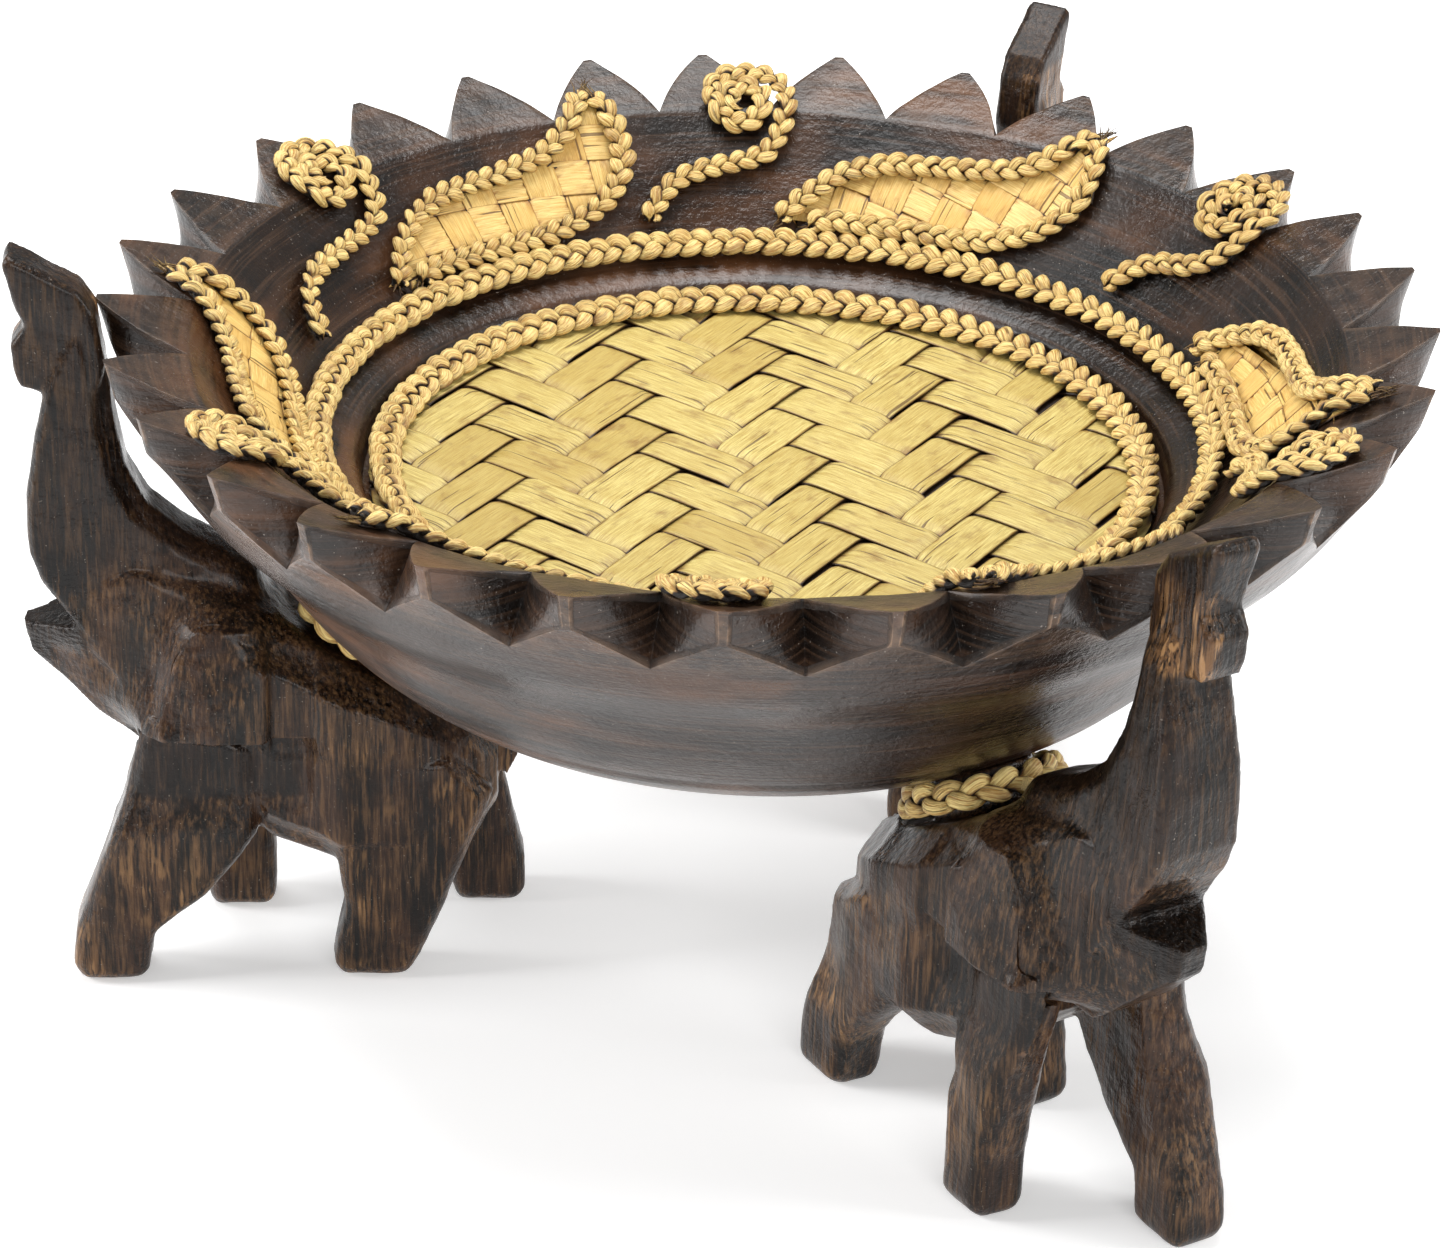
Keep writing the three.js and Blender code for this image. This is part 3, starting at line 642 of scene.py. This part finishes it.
def wall_line(line, count=160):
    """A line of (azimuth, distance) points laid on the wall, as a track with its normals."""
    curve = smooth_line([(azimuth * LEAF_DEGREE, distance) for azimuth, distance in line], count)
    return on_wall(curve[:, 0] / LEAF_DEGREE, curve[:, 1], BRAID_LIFT)


def ring_track(radius, height, tilt, count=400):
    """A level ring about the bowl's axis, with normals tilted inward."""
    angle = np.linspace(0, 2 * math.pi, count, endpoint=False)
    around = np.stack([np.cos(angle), np.sin(angle), np.zeros(count)], axis=1)
    points = around * radius + np.array([0, 0, height])
    normals = -around * math.sin(tilt) + np.array([0, 0, math.cos(tilt)])
    return points, normals


def leaf_line(points, tip):
    """A leaf's edge moved to its place; rise shifts the outer end up the wall."""
    azimuth, rise = tip
    return [(azimuth + a, s + rise * smoothstep((s - 46) / 20)) for a, s in points]


def scroll_line(scroll):
    """A scroll's stem from its root by the ring, and its curl winding inward."""
    azimuth, root = scroll
    stem = [
        (root, 28.6), (root - 1.4, 33), (root - 4, 38.4), (root - 8, 41.6),
        ((root - 10.6) / 2, 43), (-2.8, 46), (-4.4, 51.5),
    ]
    quarters = np.linspace(0, len(CURL_RADII) - 1, 30)
    radii = np.interp(quarters, range(len(CURL_RADII)), CURL_RADII)
    angles = quarters * math.pi / 2
    across = CURL_CENTRE[0] - radii * np.cos(angles) / CURL_DEGREE
    up = CURL_CENTRE[1] + radii * np.sin(angles)
    return [(azimuth + a, s) for a, s in [*stem, *zip(across, up)]]


def elephant_place(number):
    """An elephant's centre under the bowl, and the turn from its own axes, with +X ahead, to the frame's."""
    azimuth, heading = [math.radians(a) for a in ELEPHANTS[number - 1]]
    centre = np.array([math.cos(azimuth), math.sin(azimuth), 0]) * ELEPHANT_RADIUS
    turn = np.array([
        [math.cos(heading), -math.sin(heading), 0], [math.sin(heading), math.cos(heading), 0], [0, 0, 1],
    ])
    return centre, turn


def saddle_track(number, count=120):
    """The ring round the boss on an elephant's back, leaning with the back, with normals outward and up."""
    centre, turn = elephant_place(number)
    angle = np.linspace(0, 2 * math.pi, count, endpoint=False)
    outward = np.stack([np.cos(angle), np.sin(angle), np.zeros(count)], axis=1)
    lean = np.array([
        [math.cos(SADDLE_TILT), 0, -math.sin(SADDLE_TILT)], [0, 1, 0],
        [math.sin(SADDLE_TILT), 0, math.cos(SADDLE_TILT)],
    ])
    points = outward * SADDLE_RADIUS @ lean.T + np.array(SADDLE_SEAT)
    normals = (outward * 0.94 + np.array([0, 0, 0.34])) @ lean.T
    return points @ turn.T + centre, normals @ turn.T


def make_braids():
    """Every braid of the bowl, each a piece that stands for its CAD band."""
    material = braid_material()
    random = np.random.default_rng(11)

    def braid_piece(name, track, normals, braid, closed, seed, frayed=False):
        batch = Batch()
        Plait(track, normals, braid, closed, seed).add_to(batch)
        if frayed:
            ahead, back = unit(track[-1] - track[-4]), unit(track[0] - track[3])
            fray(batch, track[-1], ahead, normals[-1], random, count=8, length=7, spread=0.25)
            fray(batch, track[0], back, normals[0], random, count=4, length=3, spread=0.3)
        batch.piece(f"{name}_plaited", material, "straw_braid", name)

    mat_ring = ring_track(MAT_BRAID_RADIUS, MAT_TOP + MAT_BRAID_LIFT, MAT_BRAID_TILT)
    braid_piece("mat_braid", *mat_ring, MAT_BRAID, True, 1)
    wall_radius = WALL_BRAID_RADIUS + WALL_BRAID_DROP * math.sin(WALL_BRAID_TILT)
    wall_height = WALL_BRAID_HEIGHT - WALL_BRAID_DROP * math.cos(WALL_BRAID_TILT)
    braid_piece("wall_braid", *ring_track(wall_radius, wall_height, WALL_BRAID_TILT), WALL_BRAID, True, 2)
    for i, tip in enumerate(LEAF_TIPS):
        for j, (edge, line) in enumerate((("upper", LEAF_UPPER), ("lower", LEAF_LOWER))):
            name = f"leaf_braid_{edge}_{i + 1}"
            track, normals = wall_line(leaf_line(line, tip))
            braid_piece(name, track, normals, LEAF_BRAID, False, 10 + 2 * i + j, frayed=True)
    for i, scroll in enumerate(SCROLLS):
        track, normals = wall_line(scroll_line(scroll), 260)
        braid_piece(f"scroll_braid_{i + 1}", track, normals, SCROLL_BRAID, False, 30 + i)
    for i in range(len(ELEPHANTS)):
        braid_piece(f"saddle_braid_{i + 1}", *saddle_track(i + 1), SADDLE_BRAID, True, 50 + i)


# ---------------------------------------------------------------- woven bamboo

STRIP_COLUMNS = np.array([-1, -0.9, -0.5, 0, 0.5, 0.9, 1])  # points across a strip, in half widths
SHORTEST_STRIP = 3.0


def float_level(across, over, sharp):
    """How high a strip rides, 1 over to -1 under, at fractional crossings along it."""
    low = np.floor(across).astype(int)
    t = smoothstep((across - low - 0.5) * sharp + 0.5)
    here = np.where(over(low), 1.0, -1.0)
    after = np.where(over(low + 1), 1.0, -1.0)
    return here * (1 - t) + after * t


def plan_axes(angle):
    """Directions along and across a set of strips."""
    along = np.array([math.cos(angle), math.sin(angle)])
    return along, np.array([-along[1], along[0]])


def strip_ends(inside, reach, along, normal, offset, half):
    """Where each column of a strip starts and stops in the panel, or None where there is no strip."""
    steps = np.arange(-reach, reach, 1.0)
    spans = []
    for column in STRIP_COLUMNS:
        hit = np.nonzero(inside(normal * (offset + column * half) + along * steps[:, None]))[0]
        spans.append((steps[hit[0]], steps[hit[-1]]) if len(hit) > 1 else None)
    crossed = [span for span in spans if span]
    if not crossed:
        return None
    middle = sum(crossed[0]) / 2
    start, stop = np.array([span or (middle, middle) for span in spans]).T
    return None if (stop - start).max() < SHORTEST_STRIP else (start, stop)


def weave(batch, inside, reach, lay, spec, random):
    """Two sets of flat strips that cross over and under each other.

    inside(points) says which plan points are within the panel, and lay(points, height) puts them in space.
    spec["over"](n, m) says whether strip n of the first set rides over strip m of the second.
    """
    pitch = spec["pitch"]
    number = int(reach / pitch) + 1
    columns = STRIP_COLUMNS
    edge, middle = len(columns) - 1, len(columns) // 2
    for k, (angle, width, origin) in enumerate(spec["sets"]):
        along, normal = plan_axes(angle)
        cross_angle, _, cross_origin = spec["sets"][1 - k]
        cross_normal = plan_axes(cross_angle)[1]
        for n in range(-number, number + 1):
            offset = (n + origin) * pitch + random.normal(0, 0.25)
            half = width / 2 * random.uniform(0.93, 1.05)
            ends = strip_ends(inside, reach, along, normal, offset, half)
            if ends is None:
                continue
            start, stop = ends
            rows = int((stop - start).max() / spec["step"]) + 2
            t = start + (stop - start) * np.linspace(0, 1, rows)[:, None]
            plan = along * t[..., None] + normal * (offset + columns * half)[None, :, None]
            ride = (plan @ cross_normal) / pitch - cross_origin
            over = (lambda m: spec["over"](n, m)) if k == 0 else (lambda m: ~spec["over"](m, n))
            level = float_level(ride, over, spec["sharp"])
            plan = plan + normal * wander(t[:, middle] / 30, n + 50 * k, 0.5)[:, None, None]
            dome = -0.16 * columns ** 2 * spec["arch"]
            twist = columns * wander(t[:, middle] / 18, n + 90 * k, 0.3)[:, None] * spec["arch"]
            height = spec["lift"] + spec["swing"] * level + dome + twist
            flat_plan = plan.reshape(-1, 2)
            top = lay(flat_plan, height.ravel()).reshape(*t.shape, 3)
            under = lay(flat_plan, height.ravel() - spec["thickness"]).reshape(*t.shape, 3)
            back = [edge, middle, 0]
            points = np.concatenate([top, under[:, back]], axis=1)
            # dip: deepest where a strip dives under, at its edges and by the rim; painted as brown stain and
            # painted shade, and the undersides as full painted shade
            dip_top = (1 - level) / 2 + 0.7 * np.abs(columns) ** 14 + spec["border"](plan)
            dip = np.concatenate([dip_top, np.ones((rows, len(back)))], axis=1)
            flat = np.concatenate([columns * half, [half, 0, -half]])
            deep = np.concatenate([height, height[:, back] - 1], axis=1) * 0.2
            sides = flat + 31 * n + 1000 * k
            strand = np.stack(np.broadcast_arrays(t[:, middle:middle + 1], sides, deep), axis=-1)
            around = len(columns) + len(back)
            faces = tube_faces(rows, around, False) + end_caps(rows, around)
            batch.add(points.reshape(-1, 3), faces, strand.reshape(-1, 3), dip.ravel(), random.uniform(0, 1))


def make_mat(material):
    """The mat in the bowl's floor: a twill, each strip over two and under two."""
    radius = MAT_RADIUS - 0.8

    def inside(plan):
        return np.hypot(plan[:, 0], plan[:, 1]) < radius

    def lay(plan, height):
        return np.column_stack([plan, height])

    spec = {
        "pitch": 13.2, "step": 1.1,
        "lift": MAT_TOP - 0.5, "swing": 0.75, "thickness": 0.5, "sharp": 1.9, "arch": 1.0,
        "sets": [(math.radians(-38), 12.9, 0.53), (math.radians(58.8), 12.2, -0.35)],
        "over": lambda n, m: (n - m - 1) % 4 < 2,
        # darker towards the mat's rim under the braid: brown stain and painted shade
        "border": lambda plan: 0.55 * smoothstep((np.linalg.norm(plan, axis=-1) - radius + 9) / 8),
    }
    batch = Batch()
    weave(batch, inside, radius, lay, spec, np.random.default_rng(5))
    batch.piece("weave_panel_woven", material, "bamboo_weave", "weave_panel")


def in_outline(points, outline):
    """Which plan points lie within a closed outline, by counting the edges to their right."""
    x, y = points.T[..., None]
    ax, ay = outline.T
    bx, by = np.roll(outline, -1, 0).T
    crosses = (ay > y) != (by > y)
    at = ax + (y - ay) * (bx - ax) / np.where(by == ay, 1e-9, by - ay)
    return (crosses & (x < at)).sum(1) % 2 == 1


def make_leaf_panel(number, tip, material):
    """The plain-woven infill of a leaf, bent to the wall and tucked under the braids."""
    edges = [leaf_line(LEAF_UPPER, tip), leaf_line(LEAF_LOWER[1:], tip)]
    upper, lower = [smooth_line([(a * LEAF_DEGREE, s) for a, s in edge], 60) for edge in edges]
    outline = np.vstack([upper, lower[::-1]])
    centre = outline.mean(0)

    def inside(plan):
        return in_outline(plan + centre, outline)

    def lay(plan, height):
        moved = plan + centre
        return on_wall(moved[:, 0] / LEAF_DEGREE, moved[:, 1], height)[0]

    turn = math.radians(12 * ((number - 1) % 3) - 8)
    spec = {
        "pitch": 9.0, "step": 1.0,
        "lift": 1.0, "swing": 0.3, "thickness": 0.35, "sharp": 3.0, "arch": 0.5,
        "sets": [(turn, 9.1, 0.3), (turn + math.radians(84), 9.1, 0.2)],
        "over": lambda n, m: (n + m) % 2 == 0,
        "border": lambda plan: 0,
    }
    batch = Batch()
    weave(batch, inside, 48, lay, spec, np.random.default_rng(19 + number))
    name = f"leaf_panel_{number}"
    batch.piece(f"{name}_woven", material, "bamboo_weave", name)


# ---------------------------------------------------------------- bowl

def notch_half(pitch):
    """Half the width of the notch at the tips of the teeth, for teeth a given angle apart."""
    return RIM[0] * math.sin(math.radians(pitch / 2)) - TOOTH_LAND / 2


def between(a, b, count):
    """Points from a to b, evenly spaced."""
    return [tuple(p) for p in np.linspace(a, b, count)]


class BowlMesh:
    """The bowl as rings of points, open between the teeth, with ruled walls down the notches.

    Rings run from the floor up the inside, over the teeth's ends and down the outside.
    """

    ACROSS = 14  # faces across a tooth
    THROUGH = 8  # faces through the wall
    DEPTH_ROWS = 22  # rings down a notch

    def __init__(self):
        self.points = []
        self.faces = []
        self.turning = []
        self.wear = []
        tips = TOOTH_TIPS[::-1]
        count = len(tips)
        nexts = [tips[(i + 1) % count] + (360 if i + 1 == count else 0) for i in range(count)]
        self.notches = [((a + b) / 2, b - a) for a, b in zip(tips, nexts)]
        self.teeth = len(self.notches)

    def point(self, radius, angle, height, along, wear=0.0):
        self.points.append((radius * math.cos(angle), radius * math.sin(angle), height))
        self.turning.append((along, angle * radius, height))
        self.wear.append(wear)
        return len(self.points) - 1

    def whole_ring(self, radius, height, along):
        """A ring below the notches, whole: the points at its ends are shared between neighbouring teeth."""
        ring = []
        for i, (left, _) in enumerate(self.notches):
            right = self.notches[(i + 1) % self.teeth][0]
            right += 360 if right < left else 0
            angles = [math.radians(left + (right - left) * j / self.ACROSS) for j in range(self.ACROSS)]
            columns = [self.point(radius, angle, height, along) for angle in angles]
            ring.append(columns)
        return [columns + [ring[(i + 1) % self.teeth][0]] for i, columns in enumerate(ring)]

    def cut_ring(self, radius, height, along, share, wear):
        """A ring through the teeth. share is the notches' width here, as a part of that at the tips."""
        ring = []
        for i, (left, left_pitch) in enumerate(self.notches):
            right, right_pitch = self.notches[(i + 1) % self.teeth]
            right += 360 if right < left else 0
            start = math.radians(left) + math.asin(notch_half(left_pitch) * share / radius)
            stop = math.radians(right) - math.asin(notch_half(right_pitch) * share / radius)
            tooth = []
            for j in range(self.ACROSS + 1):
                edge = 1 if j in (0, self.ACROSS) else 0.3
                angle = start + (stop - start) * j / self.ACROSS
                tooth.append(self.point(radius, angle, height, along, wear * edge))
            ring.append(tooth)
        return ring

    def join(self, a, b):
        """Faces between two neighbouring rings."""
        for tooth_a, tooth_b in zip(a, b):
            for j in range(self.ACROSS):
                self.faces.append((tooth_a[j], tooth_a[j + 1], tooth_b[j + 1], tooth_b[j]))

    def wall_row(self, low, high):
        """Points between an outside corner and an inside corner of a notch."""
        a, b = np.array(self.points[low]), np.array(self.points[high])
        row = [low]
        for k in range(1, self.THROUGH):
            p = a + (b - a) * k / self.THROUGH
            self.points.append(tuple(p))
            self.turning.append((50 + p[2], math.atan2(p[1], p[0]) * 8, p[2]))
            self.wear.append(0)
            row.append(len(self.points) - 1)
        return row + [high]

    def notch_walls(self, inner, outer, ends):
        """Both ruled walls of every notch, from its foot to the ends of the teeth beside it."""
        for i in range(self.teeth):
            foot = self.wall_row(outer[0][i][0], inner[0][i][0])
            for tooth, corner in ((i, 0), ((i - 1) % self.teeth, -1)):
                below = foot
                for a, b in zip(outer[1:-1], inner[1:-1]):
                    row = self.wall_row(a[tooth][corner], b[tooth][corner])
                    self.strip(below, row, corner)
                    below = row
                self.strip(below, [ring[tooth][corner] for ring in ends], corner)

    def strip(self, below, row, corner):
        for k in range(self.THROUGH):
            quad = [below[k], below[k + 1], row[k + 1], row[k]]
            self.faces.append(quad if corner == 0 else quad[::-1])

    def build(self):
        inside_low = smooth_line([*INSIDE, (116, 144.7), NOTCH_FOOT], ALONG_NOTCH)
        outside_low = smooth_line([NOTCH_OUTER_FOOT, *OUTSIDE], 60)
        inside_teeth = between(NOTCH_FOOT, RIM, self.DEPTH_ROWS)
        outside_teeth = between(NOTCH_OUTER_FOOT, TOOTH_END_FOOT, self.DEPTH_ROWS)
        tooth_end = between(TOOTH_END_FOOT, RIM, self.THROUGH + 1)
        pocket = [(1, FLOOR), (45, FLOOR), (80, FLOOR)]
        bottom = [(60, UNDERSIDE), (30, UNDERSIDE), (1, UNDERSIDE)]

        rings = [self.whole_ring(*place, -i) for i, place in enumerate(pocket)]
        rings += [self.whole_ring(*place, i) for i, place in enumerate(inside_low[:-1])]
        inner = [self.whole_ring(*NOTCH_FOOT, ALONG_NOTCH)]
        outer = [self.whole_ring(*NOTCH_OUTER_FOOT, ALONG_OUTSIDE)]
        for k in range(1, self.DEPTH_ROWS):
            u = k / (self.DEPTH_ROWS - 1)
            inner_wear, outer_wear = (0.7, 1.0) if u == 1 else (0.45, 0.6)
            inner_share = 0.62 * u + 0.38 * u * u
            outer_share = 0.8 * u + 0.2 * u * u
            inner.append(self.cut_ring(*inside_teeth[k], ALONG_NOTCH + k, inner_share, inner_wear))
            outer.append(self.cut_ring(*outside_teeth[k], ALONG_OUTSIDE - k, outer_share, outer_wear))
        ends = [self.cut_ring(*place, ALONG_ENDS + k, 1, 1.6) for k, place in enumerate(tooth_end[1:-1])]
        ends = [outer[-1], *ends, inner[-1]]
        rings += inner[:-1] + ends[::-1] + outer[-2::-1]
        for i, place in enumerate(outside_low[1:]):
            rings.append(self.whole_ring(*place, ALONG_OUTSIDE + 1 + 1.3 * i))
        rings += [self.whole_ring(*place, ALONG_BOTTOM + i) for i, place in enumerate(bottom)]
        for a, b in zip(rings, rings[1:]):
            self.join(a, b)
        self.notch_walls(inner, outer, ends)
        self.cap(rings[0], True)
        self.cap(rings[-1], False)

    def cap(self, ring, up):
        loop = [p for tooth in ring for p in tooth[:-1]]
        self.faces.append(loop if up else loop[::-1])


def make_bowl():
    """The bowl, with slightly uneven hand-cut teeth and rounded edges."""
    bowl = BowlMesh()
    bowl.build()
    points = np.array(bowl.points)
    noise.seed_set(4)
    cut = smoothstep((points[:, 2] - 150) / 6)[:, None]
    for scale, size in ((0.045, 0.5), (0.16, 0.16)):
        shove = np.array([noise.noise_vector(Vector(p * scale)) for p in points])
        points = points + shove * size * cut
    attributes = {"turning": np.array(bowl.turning) * MM, "wear": bowl.wear}
    piece = make_piece("bowl_turned", points, bowl.faces, turned_wood(), ["bowl"], attributes)
    bevel = piece.modifiers.new("worn_edges", "BEVEL")
    bevel.width = 0.6 * MM
    bevel.segments = 2
    bevel.limit_method = "ANGLE"
    bevel.angle_limit = math.radians(38)


# ---------------------------------------------------------------- elephants

def window(values, low, high, soft):
    """1 between low and high, fading to 0 over a soft margin outside."""
    return smoothstep((values - low) / soft + 1) * smoothstep((high - values) / soft + 1)


def relaxed(points, edges, share, rounds):
    """Points drawn towards their neighbours' middle, each by its own share, a number of times."""
    count = len(points)
    ends = np.concatenate([edges, edges[:, ::-1]])
    number = np.bincount(ends[:, 0], minlength=count)[:, None]
    for _ in range(rounds):
        total = np.column_stack([np.bincount(ends[:, 0], points[ends[:, 1], i], count) for i in range(3)])
        points = points + (total / number - points) * share[:, None]
    return points


def fill_cheeks(points):
    """The groove between ear and head filled to a facet that falls away ahead of the ear."""
    x, y, z = points.T
    ear_front = 16 + 0.4 * (96 - z)
    facet = 18.6 + 0.065 * (96 - z) - 0.75 * np.maximum(x - ear_front, 0)
    beside = window(x, 4, 40, 4) * window(z, 62, 93, 3) * smoothstep((np.abs(y) - 6) / 4)
    y = y + np.sign(y) * beside * np.maximum(facet - np.abs(y), 0)
    return np.column_stack([x, y, z])


def soften(points, edges):
    """Cheeks, crown and legs rounded off."""
    x, y, z = points.T
    cheek = window(x, 12, 34, 3) * window(np.abs(y), 9, 23, 3) * window(z, 64, 96, 4)
    crown = window(x, -8, 24, 4) * window(z, 88, 106, 3)
    legs = smoothstep((44 - z) / 16)
    return relaxed(points, edges, 0.5 * np.clip(cheek + 0.8 * crown + 0.3 * legs, 0, 1), 40)


def shape_sides(points):
    """The ears raised, and the wood below and behind them, the flank and the rump cut back."""
    x, y, z = points.T
    wide = smoothstep((np.abs(y) - 15) / 5)
    ear = window(x, 3, 25, 3) * window(z, 66, 92, 1.5) * wide
    armpit = window(x, -6, 40, 4) * smoothstep((z - 36) / 18) * smoothstep((65.4 - z) / 0.8 + 0.5) * wide
    behind_ear = window(x, -9, 0.5, 1.2) * window(z, 62, 84, 5) * wide
    rump = smoothstep((-36 - x) / 16) * smoothstep((z - 18) / 14) * wide
    flank = window(x, -9, 3, 7) * window(z, 34, 58, 8) * wide
    y = y + np.sign(y) * (1.6 * ear - 3.6 * armpit - 1.4 * behind_ear - 3.2 * rump - 1.6 * flank)
    return np.column_stack([x, y, z])


def knife_marks(points, normals, seed):
    """Small uneven hollows, pushed in along the surface."""
    start = Vector((seed, 0, 0))
    broad = np.array([noise.noise(Vector(p * 0.11) + start) for p in points])
    fine = np.array([noise.noise(Vector(p * 0.4)) for p in points])
    return points + normals * (0.42 * broad + 0.1 * fine)[:, None]


def wood_attributes(points, number):
    """Where the stain is thin, where the wood is made darker (painted shade under the ears, dark end grain
    with painted shade in the mouth, darker towards the top), where the mouth's cut looks wet, and each
    elephant's own stretch of grain.
    """
    x, y, z = points.T
    trunk_tip = window(z, 149, 166, 3) * window(y, -12, 0.5, 2) * window(x, 36, 70, 3)
    legs = 0.6 * smoothstep((46 - z) / 22) + 0.5 * window(z, 24, 60, 8) * window(x, -60, -8, 8)
    # painted shade under the overhang of the ears: the stain is kept whole there and made darker
    shade_under_ear = window(x, -4, 32, 3) * window(z, 50, 65, 2) * smoothstep((np.abs(y) - 15) / 4)
    # the mouth's cut: dark wet end grain, with painted shade in the cleft between trunk and jaw
    mouth = window(x, 44, 60, 2) * window(z, 84, 92, 3)
    jaw = window(x, 52, 60, 2) * window(z, 78, 88, 2)
    # darker towards the top of the head and back
    neck = 0.6 * smoothstep((z - 96) / 14) * (1 - trunk_tip)
    return {
        "bare": np.clip(trunk_tip * 1.4 + legs + 0.2 - shade_under_ear, 0, 1.5),
        "gloss": np.clip(mouth + jaw, 0, 1),
        "deep": np.clip(mouth + jaw + 0.75 * shade_under_ear + neck, 0, 1),
        "grain": (points + np.array([200 * number, 0, 0])) * MM,
    }


def remeshed(name):
    """A CAD solid as a fine even mesh with its edges softened."""
    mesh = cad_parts[name].data.copy()
    mesh.materials.clear()
    blank = bpy.data.objects.new(f"{name}_blank", mesh)
    bpy.context.scene.collection.objects.link(blank)
    remesh = blank.modifiers.new("remesh", "REMESH")
    remesh.mode = "VOXEL"
    remesh.voxel_size = VOXEL * MM
    smooth = blank.modifiers.new("smooth", "SMOOTH")
    smooth.factor = 0.5
    smooth.iterations = 2
    bpy.context.view_layer.update()
    result = bpy.data.meshes.new_from_object(blank.evaluated_get(bpy.context.evaluated_depsgraph_get()))
    bpy.data.objects.remove(blank)
    return result


def values_of(items, field, kind, columns):
    """A field of every vertex or edge of a mesh, as rows of numbers."""
    values = np.empty(len(items) * columns, kind)
    items.foreach_get(field, values)
    return values.reshape(-1, columns)


def make_elephant(number, material):
    """A carved elephant: the CAD blank with its cheeks, ears and sides shaped and knife marks left on it."""
    name = f"elephant_{number}"
    centre, turn = elephant_place(number)
    blank = remeshed(name)
    edges = values_of(blank.edges, "vertices", int, 2)
    normals = values_of(blank.vertices, "normal", float, 3) @ turn
    points = (values_of(blank.vertices, "co", float, 3) / MM - centre) @ turn
    points = soften(fill_cheeks(points), edges)
    points = knife_marks(shape_sides(points), normals, 17 * number)
    faces = [list(polygon.vertices) for polygon in blank.polygons]
    attributes = wood_attributes(points, number)
    points = points @ turn.T + centre
    make_piece(f"{name}_carved", points, faces, material, [name], attributes)


# ---------------------------------------------------------------- assembly

add_camera()
add_studio()
make_bowl()
make_mat(strip_material("bamboo_strips", rgb(212, 196, 124), rgb(164, 136, 66), rgb(112, 68, 24)))
golden = strip_material("golden_strips", rgb(234, 206, 132), rgb(198, 154, 76), rgb(136, 80, 24))
for number, tip in enumerate(LEAF_TIPS, 1):
    make_leaf_panel(number, tip, golden)
make_braids()
elephant_wood = carved_wood()
for number in range(1, len(ELEPHANTS) + 1):
    make_elephant(number, elephant_wood)
